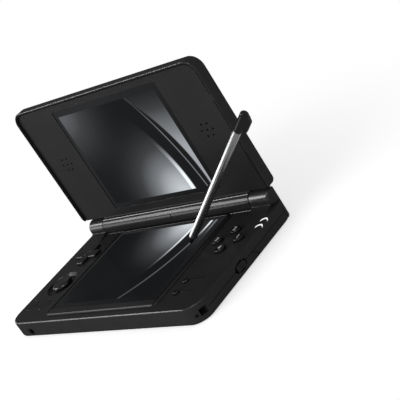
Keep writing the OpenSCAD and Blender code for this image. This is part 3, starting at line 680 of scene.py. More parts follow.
def sideCutters():
    # Openings that cross the parting line
    slot = sideParts["slot"]
    sliderWay = sideParts["sliderLength"] + 2 * sideParts["slideWay"]
    cutters = []
    for side, length, middle in ((1, sliderWay, sideParts["sliderMiddle"]),
                                 (-1, sideParts["rockerLength"], sideParts["rockerMiddle"])):
        pill = pillBlock(length + 2 * slot, sideParts["width"] + 2 * slot, -1.2, 4)
        cutters.append(moved(pill, sidePlace(side, middle, sideParts["sunk"], sideParts["height"])))
    half, front, middle = sockets["strapSide"] / 2, fromFront(sockets["strapFront"]), sockets["strapZ"]
    cutters.append(box("strap", (sideX - sockets["strapDepth"], front - half, middle - half),
                       (sideX + 5, front + half, middle + half)))
    bore = cylinder("bore", sockets["strapBore"], -8, 12, 40)
    cutters.append(moved(bore, spot(sideX - 4, front, sockets["strapBoreZ"], 90, "X")))
    jack = sockets["jackRadius"] + sockets["jackWall"]
    profile = [(0, -1), (jack + 0.35, -1), (jack + 0.35, 0), (jack, 0.3), (jack, 2.5), (0, 2.5)]
    bore = revolve("bore", profile, 48)
    cutters.append(moved(bore, spot(sockets["jackX"], frontY, sockets["jackZ"], -90, "X")))
    rear, floor = axisY - hinge["radius"] - shell["wall"] - 1, shell["floor"]
    for kind, wall, middle in (("card", sockets["cardWall"], 0),
                               ("power", sockets["jackWall"], sockets["powerX"])):
        half = sockets[kind + "Width"] / 2 + wall
        cutters.append(box(kind, (middle - half, rear, floor),
                           (middle + half, rearY + 5, floor + sockets[kind + "Height"] + 2 * wall)))
    half, inner = shell["partingHalf"], sideX - shell["partingDepth"]
    front, rear = fromFront(shell["partingFrom"]), fromFront(shell["partingTo"])
    for side in (-1, 1):
        low, high = sorted((side * inner, side * (sideX + 1)))
        cutters.append(box("parting", (low, front, splitZ - half), (high, rear, splitZ + half)))
    aside = shell["partingRear"]
    cutters.append(box("parting", (-aside, rearY - shell["partingDepth"], splitZ - half),
                       (aside, rearY + 1, splitZ + half)))
    cutters += [shoulderBlank(side, slot, -1, shoulder["top"] + slot) for side in (-1, 1)]
    return cutters


def insideSpace(low, high):
    # Hollow of the shells, less the screw bosses and the block round the strap hole
    depth = axisY - hinge["radius"] - frontY - 2 * shell["wall"]
    radius = shell["corner"] - shell["wall"]
    space = slab("space", shell["width"] - 2 * shell["wall"], depth, (radius, radius), [(0, low), (0, high)])
    at(space, 0, frontY + shell["wall"] + depth / 2)
    posts = [screwPost(side, sockets["screwBoss"], low - 1, high + 1) for side in (-1, 1)]
    block = box("block", (sideX - sockets["strapDepth"] - 1.5, frontY - 1, low - 1),
                (sideX + 1, fromFront(sockets["strapFront"] + sockets["strapSide"] / 2 + 1.5), high + 1))
    return cut(space, posts + [block])


# Lower half of the base


def makeBottomShell():
    piece = shellSlab("baseBottom", edgeRound(shell["footEdge"], 0, 8, top=False) + [(0, splitZ)])
    cutters = [insideSpace(shell["floor"], splitZ + 1)]
    cutters += sideCutters()
    head, bore = sockets["screwHead"] + 0.15, sockets["screwBore"] + 0.1
    profile = [(0, -1), (head + 1.3, -1), (head, 0.25), (head, 1.8), (bore, 1.8), (bore, 8), (0, 8)]
    for x in (-sockets["screwX"], sockets["screwX"]):
        cutters.append(at(revolve("bore", profile, 48), x, fromFront(sockets["screwFront"])))
    # Sloping fingernail notch in the lower edge of the right side
    outline = [(fromFront(distance), z) for distance, z in sideNotch]
    cutters.append(moved(loft("nail", [(outline, sideX - 0.9), (outline, sideX + 1)]), alongX))
    return cut(piece, cutters)


baseBottom = finish(makeBottomShell(), shellPlastic, "base", ("base_bottom_shell",))
print("lower shell made", len(baseBottom.data.polygons))

# Upper half of the base, with its raised frame, knuckles and openings


def roundRodX(start, end, radius):
    return moved(cylinder("rod", radius, start, end, 24), turned(90, "Y"))


def frameRing(side, rear, height):
    radius = max(raisedFrame["corner"] - side * 0.7, 0.4)
    depth = raisedFrame["rear"] - raisedFrame["front"]
    loop = roundedLoop(raisedFrame["width"] - 2 * side, depth - side - rear, radius, radius, 0, 8)
    shift = frontY + raisedFrame["front"] + depth / 2 + (side - rear) / 2
    return ([(x, y + shift) for x, y in loop], height)


def makeKnuckle(side):
    length = knuckleOut - knuckleIn
    radius, chamfer = hinge["radius"], hinge["chamfer"]
    profile = [(0, 0), (radius - 0.25, 0), (radius, 0.25)]
    profile += arc(radius - chamfer, length - chamfer, chamfer, 0, 90) + [(0, length)]
    drum = moved(revolve("drum", profile, 72), onAxis(knuckleIn))
    back = rearY - axisY - 0.2
    foot, crest = -hinge["rampDepth"], hinge["rampLength"] - hinge["rampDepth"]
    crestZ = deckZ + hinge["rampHeight"]
    outline = [(foot, deckZ - 0.6), (foot, deckZ - 0.01), (crest - 0.8, crestZ - 0.22),
               (crest - 0.2, crestZ - 0.04), (crest + 0.5, crestZ + 0.06), (0.6 - radius, axisZ - 0.4),
               (0, axisZ), (back, axisZ - 0.4), (back, deckZ - 0.6)]
    end = length - chamfer / 2
    rings = []
    for x, inset in ((0, 0), (end - 0.35, 0), (end - 0.1, 0.1), (end, 0.35)):
        rings.append(([(y, z - (inset if z > deckZ - 0.3 else 0)) for y, z in reversed(outline)], x))
    slope = faceOutward(moved(loft("ramp", rings), Matrix.Translation((knuckleIn, axisY, 0)) @ alongX))
    whole = fuse(drum, [slope])
    return mirrored(whole) if side < 0 else whole


def onFrontEdge(middle, normal):
    # The rounded front edges of the deck and of the raised frame, and the lips before the hinge, where they
    # face front and up: these get the painted highlight
    if not 0.12 < normal.z < 0.985 or normal.y > -0.1:
        return False
    if middle.z > deckZ + 0.02:
        return middle.y > fromFront(raisedFrame["rear"] - 1) and (middle.z > deckZ + 2 or middle.x > 44)
    aside = max(abs(middle.x) - sideX + shell["corner"], 0)
    ahead = max(frontY + shell["corner"] - middle.y, 0)
    return hypot(aside, ahead) > shell["corner"] - 1.2 and ahead > 0


# Faces in the groove beside the glass, which get the painted shade
def inShadedFrameSeam(middle, normal):
    return (raisedFrame["seamFrom"] - 0.01 < abs(middle.x) < raisedFrame["seamTo"] + 0.01
            and frameZ - raisedFrame["seamDepth"] - 0.01 < middle.z < frameZ - 0.02)


def makeDeck():
    # The closed outer form: deck, raised frame, knuckles and lips
    piece = shellSlab("baseTop", [(0, splitZ)] + edgeRound(shell["deckEdge"], deckZ, 8))
    slope, foot, start = raisedFrame["slope"], raisedFrame["foot"], deckZ + 0.05
    rings = [frameRing(-foot, 0, deckZ - 0.4), frameRing(-foot, 0, deckZ), frameRing(0, 0, start)]
    for i in range(1, 8):
        angle = radians(90 * i / 8)  # the border rises in a quarter round
        height = start + (frameZ - start) * sin(angle)
        rings.append(frameRing(slope * (1 - cos(angle)), 0.02 * i, height))
    rings.append(frameRing(slope, 0.25, frameZ))
    keep = shellSlab("outline", [(0.02, 0), (0.02, 30)])
    hubs = [keepInside(makeKnuckle(side), [copied(keep)]) for side in (-1, 1)]
    drop(keep)
    lips = []
    for turn in (180, 0):
        rod = roundRodX(hingeLip["from"], knuckleIn - hingeLip["short"], hingeLip["radius"])
        lips.append(at(moved(rod, turned(turn, "Z")), 0, fromFront(raisedFrame["rear"] + hingeLip["behind"]),
                       deckZ + hingeLip["up"]))
    return fuse(piece, [loft("frame", rings)] + hubs + lips)


def deckHole(x, y, radius, steps=48):
    # Round opening with a chamfered lip
    lip = controls["lip"]
    wide = radius + lip + 0.4
    profile = [(0, splitZ), (radius, splitZ), (radius, deckZ - lip), (wide, deckZ + 0.4), (wide, 20), (0, 20)]
    return at(revolve("cutter", profile, steps), x, y)


def controlOpenings():
    gap, lip = controls["gap"], controls["lip"]
    cutters = [deckHole(*facePlace(i), controls["faceRadius"] + gap) for i in range(4)]
    for i in range(2):
        cutters.append(deckHole(*menuPlace(i), controls["menuRadius"] + gap, 40))
        cutters.append(deckHole(*roundPlace(i), controls["roundRadius"] + gap / 2))
    span, arm = controls["padSpan"] + 2 * gap, controls["padArm"] + 2 * gap
    profile = [(0, splitZ), (0, deckZ - lip), (-lip - 0.4, deckZ + 0.4), (-lip - 0.4, 20)]
    cross = loft("cross", [(crossLoop(span, arm, inset), height) for inset, height in profile])
    cutters.append(at(cross, *padPlace))
    recess = controls["recess"]
    reach = controls["stem"] + sqrt(2) * controls["stickTravel"] + 0.2
    profile = [(0, splitZ), (reach, splitZ), (reach, recessZ), (recess - 1.2, recessZ)]
    for i in range(1, 8):
        share = i / 8  # the wall of the recess is a shallow bowl
        profile.append((recess - 1.2 + 1.7 * share, recessZ + controls["recessDepth"] * share ** 1.7))
    profile += [(recess + 0.55, deckZ - 0.06), (recess + 0.75, deckZ + 0.1), (recess + 0.75, 20), (0, 20)]
    cutters.append(at(revolve("recess", profile, 96), *stickPlace))
    return cutters


def glassOpenings(gap, y, pocket, through):
    # The pocket that holds a sheet of glass, and the opening for its display
    sheet = slab("pocket", glass["width"] + 2 * gap, glass["height"] + 2 * gap, (1.2, 1.2), pocket, 6)
    window = slab("window", glass["displayWidth"], glass["displayHeight"], (0.6, 0.6), through, 4)
    return [at(sheet, 0, y), at(window, 0, y)]


def makeTopShell():
    piece = makeDeck()
    cutters = []
    for side in (-1, 1):
        low, high = sorted((side * raisedFrame["seamFrom"], side * raisedFrame["seamTo"]))
        front, rear = fromFront(raisedFrame["front"] + 2.2), fromFront(raisedFrame["rear"] - 0.8)
        cutters.append(box("seam", (low, front, frameZ - raisedFrame["seamDepth"]), (high, rear, frameZ + 2)))
    trough = hinge["radius"] + hinge["gap"]
    cutters.append(moved(cylinder("trough", trough, 0, 2 * knuckleIn, 96), onAxis(-knuckleIn)))
    cutters.append(box("trough", (-knuckleIn, axisY, axisZ - trough + 0.3),
                       (knuckleIn, rearY + 5, axisZ + 10)))
    housing = post(*stickPlace, controls["recess"] + 1, recessZ - 0.9, 20)
    cutters.append(cut(insideSpace(splitZ - 1, deckUnder), [housing]))
    cutters += controlOpenings() + sideCutters()
    pocket = [(0, touchTop - glass["thickness"]), (0, frameZ - 0.1), (-0.5, frameZ + 0.4), (-0.5, 20)]
    cutters += glassOpenings(glass["gap"], fromFront(glass["touchMiddle"]), pocket, [(0, splitZ), (0, 11)])
    length = 2 * lights["length"]
    for i in range(2):
        cutters.append(moved(cylinder("lens", lights["radius"], -length, length, 48), lightPlace(i)))
    for side in (-1, 1):
        cutters.append(screwPost(side, sockets["screwBore"], 0, 8.6, 32))
        pin = moved(cylinder("pin", hinge["pinRadius"], -1, hinge["pinInKnuckle"], 40), onAxis(knuckleIn))
        cutters.append(mirrored(pin) if side < 0 else pin)
    piece = cut(piece, cutters)
    top = shoulder["lowTop"] + sideParts["slot"]
    return fuse(piece, [shoulderPost(side, shoulder["pinRadius"], top - 4.8, top + 0.01) for side in (-1, 1)])


baseTop = finish(makeTopShell(), shellPlastic, "base", ("base_top_shell",))
# Edges facing front and up get the lighter, glossier finish: painted highlight
dressFaces(baseTop, edgeHighlightPlastic, onFrontEdge)
# The groove beside the glass is painted near-black: painted shade
dressFaces(baseTop, paintedShadePlastic, inShadedFrameSeam)
print("upper shell made", len(baseTop.data.polygons))

# Geometry node trees for what repeats


def rodTree(name):
    inputs = (("Count", "Int", 6), ("Spread", "Float", 0.01), ("Rod Radius", "Float", 0.001),
              ("Rod Length", "Float", 0.002), ("Chamfer", "Float", 0.1), ("Material", "Material", None))
    tree = bpy.data.node_groups.new(name, "GeometryNodeTree")
    tree.interface.new_socket("Geometry", in_out="OUTPUT", socket_type="NodeSocketGeometry")
    for label, kind, value in inputs:
        item = tree.interface.new_socket(label, in_out="INPUT", socket_type="NodeSocket" + kind)
        if value is not None:
            item.default_value = value
    return tree, add(tree, "NodeGroupInput").outputs


def growRods(tree, source, points, turn=(0, 0, 0)):
    # Rods along Z on the points, each with a small chamfer at its ends
    rod = add(tree, "GeometryNodeMeshCylinder", {
        "Vertices": 20, "Side Segments": 3, "Radius": source["Rod Radius"], "Depth": source["Rod Length"],
    }, fill_type="NGON")
    parts = add(tree, "ShaderNodeSeparateXYZ", {0: add(tree, "GeometryNodeInputPosition")}).outputs
    share = maths(tree, "DIVIDE", maths(tree, "ABSOLUTE", parts["Z"]), source["Rod Length"])
    ends = maths(tree, "GREATER_THAN", share, 0.4)
    # The end rings are drawn in, and the inner rings pushed out to meet them
    inward = maths(tree, "SUBTRACT", 1.0, product(tree, ends, source["Chamfer"]))
    reach = total(tree, product(tree, maths(tree, "SUBTRACT", 1.0, ends), 2.76), ends)
    factors = {"X": inward, "Y": inward, "Z": reach}
    scaled = {axis: product(tree, parts[axis], factor) for axis, factor in factors.items()}
    together = add(tree, "ShaderNodeCombineXYZ", scaled)
    shaped = add(tree, "GeometryNodeSetPosition", {"Geometry": rod, "Position": together})
    inputs = {"Points": points, "Instance": shaped, "Rotation": turn}
    spread = add(tree, "GeometryNodeInstanceOnPoints", inputs)
    real = add(tree, "GeometryNodeRealizeInstances", {0: spread})
    paint = add(tree, "GeometryNodeSetMaterial", {"Geometry": real, "Material": source["Material"]})
    add(tree, "NodeGroupOutput", {0: paint})
    return tree


def makeRingTree():
    # Rods that stand on a circle, with one more in the middle
    tree, source = rodTree("rodRing")
    circle = add(tree, "GeometryNodeMeshCircle", {"Vertices": source["Count"], "Radius": source["Spread"]})
    both = add(tree, "GeometryNodeJoinGeometry", {0: circle})
    wire(tree, both, {0: add(tree, "GeometryNodeMeshLine", {"Count": 1})})
    return growRods(tree, source, both)


def makeRowTree():
    # Rods that lie side by side along X, each turned to run along Y
    tree, source = rodTree("rodRow")
    start = product(tree, maths(tree, "SUBTRACT", source["Count"], 1), source["Spread"], -0.5)
    line = add(tree, "GeometryNodeMeshLine", {
        "Count": source["Count"],
        "Offset": add(tree, "ShaderNodeCombineXYZ", {"X": source["Spread"]}),
        "Start Location": add(tree, "ShaderNodeCombineXYZ", {"X": start}),
    }, mode="OFFSET")
    return growRods(tree, source, line, (radians(90), 0, 0))


ringTree = makeRingTree()
rowTree = makeRowTree()


def grown(name, tree, matrix, rods):
    # Runs a tree with the sizes of its rods and returns a plain mesh
    values = {"Count": rods["count"], "Spread": rods["spread"] * mm, "Rod Radius": rods["radius"] * mm,
              "Rod Length": rods["length"] * mm, "Chamfer": rods["chamfer"]}
    piece = newPiece(name, [], [])
    step = piece.modifiers.new("nodes", "NODES")
    step.node_group = tree
    for item in tree.interface.items_tree:
        if item.name in values:
            step[item.identifier] = values[item.name]
    return moved(bake(piece), matrix)


# Lid, in its own frame: X along the width, Y up from the hinge axis, Z out of the inner face

lid = {
    "top": 87.1,
    "bottom": 6.4,
    "corner": 8,
    "footCorner": 3.2,
    "thickness": 8.25,
    "backEdge": 3,
    "rim": 1.6,
    "rimHeight": 1.7,
    "rimGap": 0.3,
    "panel": 1.6,
    "panelEdge": 0.35,
    "wall": 1.6,
    "ledge": 1.2,
    "screenMiddle": 46,
    "glassSink": 0.3,
    "glassGap": 0.25,
    "notch": 64,
    "notchLength": 4,
    "notchDepth": 0.9,
    "notchDrop": 1.1,
    "seamIn": 0.42,  # groove along the rim, painted near-black as shade: its middle, width and depth
    "seamWidth": 0.5,
    "seamDepth": 0.8,
}
rimZ = axisZ - deckZ - lid["rimGap"]
panelZ = rimZ - lid["rimHeight"]
panelUnder = panelZ - lid["panel"]
backZ = rimZ - lid["thickness"]
lidWidth = shell["width"]


def panelPlan(shrink, low, high, bottom, lip=()):
    # Plan of the recess inside the rim: round corners at the top, square at the hinge
    top = lid["top"] - lid["rim"] - shrink
    width = lidWidth - 2 * (lid["rim"] + shrink)
    radius = lid["corner"] - lid["rim"] - shrink
    rings = []
    for inset, height in [(0, low), *(lip or [(0, high)])]:
        loop = roundedLoop(width, top - bottom, 0.3, radius, inset, 10)
        rings.append(([(x, y + (top + bottom) / 2) for x, y in loop], height))
    return loft("plan", rings)


def inShadedRimSeam(middle, normal):
    inset = lid["rim"] - lid["seamIn"]
    outer = min(lidWidth / 2 - abs(middle.x), lid["top"] - middle.y)
    aside, above = abs(middle.x) - lidWidth / 2 + lid["corner"], middle.y - lid["top"] + lid["corner"]
    if aside > 0 and above > 0:
        outer = lid["corner"] - hypot(aside, above)
    return (abs(outer - inset) < lid["seamWidth"] / 2 + 0.02
            and rimZ - lid["seamDepth"] - 0.01 < middle.z < rimZ - 0.02)


def makeBackCover():
    top, bottom = lid["top"], lid["bottom"]
    profile = edgeRound(lid["backEdge"], backZ, 10, top=False) + edgeRound(0.5, rimZ, 5)
    piece = slab("lidBack", lidWidth, top - bottom, (lid["footCorner"], lid["corner"]), profile, 14)
    at(piece, 0, (top + bottom) / 2)
    lip = [(0, rimZ - 0.25), (-0.25, rimZ + 0.02), (-0.25, rimZ + 1)]
    cutters = [panelPlan(0, panelUnder, rimZ + 1, bottom - 1, lip)]
    half, floor = lid["seamWidth"] / 2, rimZ - lid["seamDepth"]
    seam = panelPlan(-lid["seamIn"] - half, floor, rimZ + 1, bottom - 2)
    cutters.append(cut(seam, [panelPlan(-lid["seamIn"] + half, floor - 1, rimZ + 2, bottom - 3)]))
    inner = lidWidth / 2 - lid["rim"] - lid["ledge"]
    low, high = bottom + lid["wall"], top - 2 * lid["ledge"]
    hollow = slab("hollow", 2 * inner, high - low, (1, 1), [(0, backZ + lid["wall"]), (0, panelUnder + 1)], 4)
    cutters.append(at(hollow, 0, (low + high) / 2))
    depth, half = lid["notchDepth"], lid["notchLength"] / 2
    for side in (-1, 1):
        x = side * (sideX - lid["rim"])
        cutters.append(box("notch", (x - depth, lid["notch"] - half, rimZ - lid["notchDrop"]),
                           (x + depth, lid["notch"] + half, rimZ + 2)))
    return cut(piece, cutters)


def onRimEdge(middle, normal):
    return 0.12 < normal.z < 0.985 and normal.y > 0.12 and middle.z > rimZ - 0.6


lidBack = finish(moved(makeBackCover(), lidPlace), shellPlastic, "lid", ("lid_back_cover",))
# Rim edges facing up along the lid get the lighter, glossier finish: painted highlight
dressFaces(lidBack, edgeHighlightPlastic, onRimEdge, lidPlace)
# The groove along the rim is painted near-black: painted shade
dressFaces(lidBack, paintedShadePlastic, inShadedRimSeam, lidPlace)

speakers = {"x": 61.7, "middle": 46.8, "count": 6, "spread": 4.2, "radius": 0.6, "length": 5, "chamfer": 0.0}


def inShadedSpeakerHole(middle, normal):
    away = hypot(abs(middle.x) - speakers["x"], middle.y - speakers["middle"])
    return away < speakers["spread"] + 2 and normal.z < 0.6


def makeInnerPanel():
    piece = panelPlan(0.02, panelUnder, panelZ, lid["bottom"], edgeRound(lid["panelEdge"], panelZ, 4))
    low = panelZ - lid["glassSink"] - glass["thickness"]
    pocket = [(0, low), (0, panelZ - 0.04), (-0.5, panelZ + 0.46), (-0.5, panelZ + 1)]
    through = [(0, panelUnder - 1), (0, low + 0.5)]
    cutters = glassOpenings(lid["glassGap"], lid["screenMiddle"], pocket, through)
    middle, radius = speakers["middle"], speakers["radius"]
    lip = [(0, panelZ - 0.3), (radius - 0.05, panelZ - 0.12), (radius + 0.2, panelZ + 0.12),
           (0, panelZ + 0.12)]
    for x in (-speakers["x"], speakers["x"]):
        place = Matrix.Translation((x, middle, panelZ - 1))
        cutters.append(grown("speakerHoles", ringTree, place, speakers))
        for holeX, holeY in arc(x, middle, speakers["spread"], 0, 300, 5) + [(x, middle)]:
            cutters.append(at(revolve("lip", lip, 24), holeX, holeY))
    return cut(piece, cutters)


lidPanel = moved(makeInnerPanel(), lidPlace)
finish(lidPanel, shellPlastic, "lid", ("lid_inner_panel",))
# The walls of the speaker holes are painted near-black: painted shade
dressFaces(lidPanel, paintedShadePlastic, inShadedSpeakerHole, lidPlace)
print("lid made", len(lidBack.data.polygons), len(lidPanel.data.polygons))

# Hinge barrel, with its neck into the lid and a fine rib along its top, below the lid's panel

barrelParts = {
    "ribRadius": 0.46, "ribMiddle": 5.25, "ribAngle": -68,
    "neckLow": -3.4, "neckHigh": 0.4,
    "slitLength": 3.6, "slitWidth": 0.7, "slitAngle": -12, "micX": 2, "micY": 1.2,
}


def onBarrelRib(middle, normal):
    return (hypot(middle.y, middle.z) > hinge["radius"] + 0.03 and middle.z > 0
            and abs(middle.x) < hinge["barrelLength"] / 2)


def makeBarrel():
    radius, length = hinge["radius"], hinge["barrelLength"]
    half = length / 2
    profile = [(0, 0), (radius - 0.3, 0), (radius - 0.08, 0.08), (radius, 0.3)]
    profile += [(r, length - height) for r, height in reversed(profile)]
    piece = moved(revolve("barrel", profile, 96), spot(-half, 0, 0, 90, "Y"))
    neck = box("neck", (-half, 0, barrelParts["neckLow"]), (half, lid["bottom"], barrelParts["neckHigh"]))
    rib = at(roundRodX(0.3 - half, half - 0.3, barrelParts["ribRadius"]), 0, 0, barrelParts["ribMiddle"])
    piece = fuse(piece, [neck, moved(rib, turned(barrelParts["ribAngle"], "X"))])
    start = half - hinge["pinInBarrel"] - hinge["seam"]
    cutters = []
    for x in (-start - 20, start):
        bore = cylinder("bore", hinge["pinRadius"] + 0.05, 0, 20, 40)
        cutters.append(moved(bore, spot(x, 0, 0, 90, "Y")))
    micX, micY = barrelParts["micX"], barrelParts["micY"]
    cutters.append(box("mic", (-micX, -micY, radius - 3.4), (micX, micY, radius - 1)))
    slit = pillBlock(barrelParts["slitLength"], barrelParts["slitWidth"], radius - 1.2, radius + 1)
    cutters.append(moved(slit, turned(barrelParts["slitAngle"], "X") @ turned(90, "Z")))
    return cut(piece, cutters)


barrel = finish(moved(makeBarrel(), lidPlace), barrelPlastic, "lid", ("hinge_barrel",))
# The rib's faces toward the lid's inner face get the lighter, glossier finish: painted highlight
dressFaces(barrel, ribHighlightPlastic, onBarrelRib, lidPlace)

# Both sheets of glass


def makeGlass(name):
    thickness = glass["thickness"]
    profile = [(0.08, -thickness), (0, -thickness + 0.08), (0, -0.16), (0.05, -0.05), (0.16, 0)]
    return slab(name, glass["width"], glass["height"], (glass["corner"],) * 2, profile, 6)


def ringDistance(tree, point, centre, radius):
    # Signed distance from a circle in the plane of the screen
    away = add(tree, "ShaderNodeVectorMath", {0: point, 1: (*centre, 0)}, operation="DISTANCE")
    return maths(tree, "SUBTRACT", away.outputs["Value"], radius)


def window(tree, value, low, high, soft):
    return product(tree, mapped(tree, value, low - soft, low + soft, 0, 1),
                   mapped(tree, value, high - soft, high + soft, 1, 0))


def screenFinish(name, place, turn, area, paintedReflection):
    # Glass whose emission paints reflections as a glowing picture: soft glows and thin arcs drawn from
    # circles, framed by the dark border
    material, tree, shader = nodeTree(name)
    flat = add(tree, "ShaderNodeMapping", {
        "Vector": add(tree, "ShaderNodeTexCoord").outputs["Object"],
        "Location": [value * mm for value in place],
        "Rotation": (radians(turn), 0, 0),
        "Scale": (mm, mm, mm),
    }, vector_type="TEXTURE")
    x, y = add(tree, "ShaderNodeSeparateXYZ", {0: flat}).outputs[:2]
    point = add(tree, "ShaderNodeCombineXYZ", {"X": x, "Y": y})
    grain = mapped(tree, noise(tree, 9000, 1, 0.5), 0.3, 0.7, 0.96, 1.04, False)
    # The border glows faintly, painted lighter to the upper left and darker to the lower right as light falls
    borderLight = total(tree, mapped(tree, x, -46, 44, 0.55, 0, False), mapped(tree, y, 12, 78, 0, 0.45, False))
    mix = add(tree, "ShaderNodeMix", {
        "Factor": product(tree, window(tree, x, *area[:2], 0.12), window(tree, y, *area[2:], 0.12)),
        "A": ramp(tree, borderLight, [(0.1, (0.0075, 0.0078, 0.0085)), (0.9, (0.023, 0.0235, 0.0245))]),
        "B": ramp(tree, product(tree, paintedReflection(tree, x, y, point), grain), reflectionTones),
    }, data_type="RGBA")
    cloud = noise(tree, 60, 3, 0.6)
    wire(tree, shader, {
        "Emission Color": mix.outputs["Result"],
        "Emission Strength": 1.0,
        "Base Color": ramp(tree, cloud, [(0.3, (0.004, 0.0042, 0.0044)), (0.7, (0.006, 0.0062, 0.0064))]),
        "Specular IOR Level": 0.0,
        "Roughness": mapped(tree, cloud, 0.3, 0.7, 0.3, 0.38),
        "Coat Weight": 0.008,
        "Coat Roughness": 0.03,
    })
    return material


# Darkest to lightest tones of the painted reflections, in even steps to the eye, with the cool grey of the
# display
reflectionTones = [(step, tuple(min(share * tint, 1) for tint in (0.94, 0.99, 1.05))) for step, share in (
    (0.0, 0.0), (0.1, 0.01), (0.25, 0.051), (0.5, 0.214), (0.75, 0.522), (1.0, 1.0),
)]


def softGlow(tree, point, centre, reach, level):
    # A glow that fades evenly with distance
    away = maths(tree, "DIVIDE", ringDistance(tree, point, centre, 0), reach)
    return product(tree, maths(tree, "EXPONENT", product(tree, away, away, -1)), level)


# Painted reflections on the upper glass, as glowing colour
def upperPaintedReflection(tree, x, y, point):
    edge = ringDistance(tree, point, (-58.3, 11.6), 86.2)
    line = ringDistance(tree, point, (-134.2, -5.5), 172.6)
    outer = ringDistance(tree, point, (-54.2, 13.7), 94.3)
    glow = product(tree, softGlow(tree, point, (19, 12), 26, 0.72), mapped(tree, edge, -0.7, 0.5, 1, 0))
    streak = product(tree, window(tree, edge, -3.2, -0.3, 0.7), mapped(tree, y, 24, 52, 1, 0), 0.36)
    corner = softGlow(tree, point, (-44, 79), 26, 0.27)
    thin = product(tree, window(tree, line, -0.45, 0.35, 0.35), mapped(tree, y, 46, 80, 0.42, 0.12))
    field = product(tree, mapped(tree, outer, -0.2, 1.2, 0, 1), mapped(tree, y, 36, 80, 0.56, 0.04))
    return total(tree, glow, streak, corner, thin, field, 0.085)


# Painted reflections on the touch glass, as glowing colour
def lowerPaintedReflection(tree, x, y, point):
    edge = ringDistance(tree, point, (-73.5, 79.8), 98.1)
    line = ringDistance(tree, point, (-62.9, 79.2), 98.4)
    glow = product(tree, softGlow(tree, point, (19, 81), 25, 0.82), mapped(tree, edge, -0.6, 0.6, 1, 0.1))
    streak = product(tree, window(tree, edge, -1.9, -0.2, 0.7), mapped(tree, y, 33, 58, 0, 0.5))
    second = product(tree, window(tree, line, -0.75, 0.75, 0.6), mapped(tree, y, 10, 40, 0.22, 0.3))
    pair = total(tree, window(tree, x, 34.2, 36.2, 0.5), product(tree, window(tree, x, 38.7, 39.7, 0.4), 0.7))
    strips = product(tree, pair, mapped(tree, y, 60, 74, 0, 0.5))
    right = product(tree, mapped(tree, x, 30, 38, 0, 0.1), mapped(tree, y, 40, 70, 0, 1))
    corner = softGlow(tree, point, (-46, 11), 16, 0.06)
    return total(tree, glow, streak, second, strips, right, corner, 0.068)


# The edges of the painted reflections in millimetres: left, right, low and high
upperArea = (-43, 42.2, 14.1, 76.9)
lowerArea = (-43.5, 40.8, 13.5, 76.2)
upperFinish = screenFinish("upperScreen", (0, axisY, axisZ), 180 - lidAngle, upperArea, upperPaintedReflection)
lowerFinish = screenFinish("lowerScreen", (0, frontY, 0), 0, lowerArea, lowerPaintedReflection)
upperGlass = at(makeGlass("upperGlass"), 0, lid["screenMiddle"], panelZ - lid["glassSink"])
finish(moved(upperGlass, lidPlace), upperFinish, "lid", ("upper_glass",))
touchGlass = at(makeGlass("touchGlass"), 0, fromFront(glass["touchMiddle"]), touchTop)
finish(touchGlass, lowerFinish, "base", ("touch_glass",))
print("hinge barrel and glass made")

# Buttons

numbers = {"size": 4.08, "depth": 0.02, "bold": 0.1, "proud": 0.015}


def button(name, kind, steps, edge=0.4, dish=0.0):
    # A round button with a flange under the deck, a rounded edge and a flat or slightly hollow top
    radius, top = controls[kind + "Radius"], deckZ + controls[kind + "Height"]
    flange = deckUnder - 0.15
    profile = [(0, flange - 0.7), (radius + 0.8, flange - 0.7), (radius + 0.8, flange), (radius, flange)]
    profile += arc(radius - edge, top - edge, edge, 0, 90)
    profile += [((radius - edge) * share, top - dish * (1 - share)) for share in (0.75, 0.5, 0.25, 0)]
    return revolve(name, profile, steps)


def printedNumber(text, x, y, top):
    curve = bpy.data.curves.new("number" + text, "FONT")
    curve.body = text
    curve.size = numbers["size"] * mm
    curve.align_x = "CENTER"
    curve.align_y = "CENTER"
    curve.extrude = numbers["depth"] * mm
    curve.offset = numbers["bold"] * mm
    temporary = inScene("numberText", curve)
    graph = bpy.context.evaluated_depsgraph_get()
    graph.update()
    mesh = bpy.data.meshes.new_from_object(temporary.evaluated_get(graph), depsgraph=graph)
    bpy.data.objects.remove(temporary)
    bpy.data.curves.remove(curve)
    return at(inScene("number" + text, mesh), x, y, top)


# For each kind: names, places, finish, steps round and shape
buttonRows = (
    ("face", ("right", "rear", "left", "front"), facePlace, controlPlastic, 64, {"edge": 0.5}),
    ("menu", ("front", "rear"), menuPlace, controlPlastic, 48, {}),
    ("round", ("outer", "inner"), roundPlace, softPlastic, 64, {"dish": 0.1}),
)
for kind, names, place, material, steps, shape in buttonRows:
    for i, name in enumerate(names):
        body = f"{kind}_button_{name}"
        piece = at(button(f"{kind}Button.{name}", kind, steps, **shape), *place(i))
        finish(piece, material, body, (body,))
        if kind == "face":
            number = printedNumber(str(i + 1), *place(i), deckZ + controls["faceHeight"] + numbers["proud"])
            finish(number, whitePrint, body, ())

padParts = {"foot": 8.3, "edge": 0.5, "flange": 7, "dish": 8, "dishUp": 7.6}


def makePad():
    span, arm, top = controls["padSpan"], controls["padArm"], deckZ + controls["padHeight"]
    foot = padParts["foot"]
    piece = loft("dPad", [(crossLoop(span, arm, inset), height)
                          for inset, height in [(0, foot), *edgeRound(padParts["edge"], top, 5)]])
    piece = fuse(piece, [cylinder("flange", padParts["flange"], foot, deckUnder - 0.5, 64)])
    pivotLow, pivotHigh = corners("d_pad_pivot")
    socketRadius = (pivotHigh[2] - pivotLow[2]) / 2 + 0.06
    piece = cut(piece, [ballCutter(socketRadius, (pivotLow[2] + pivotHigh[2]) / 2, 40),
                        ballCutter(padParts["dish"], top + padParts["dishUp"], 64)])
    return at(piece, *padPlace)


def ballCutter(radius, height, steps):
    return revolve("ball", arc(0, height, radius, -90, 90, 24), steps)


labelBar = {"length": 8.6, "width": 1.5, "high": 0.09, "edge": 0.06, "right": 7.6, "behind": 0.9}


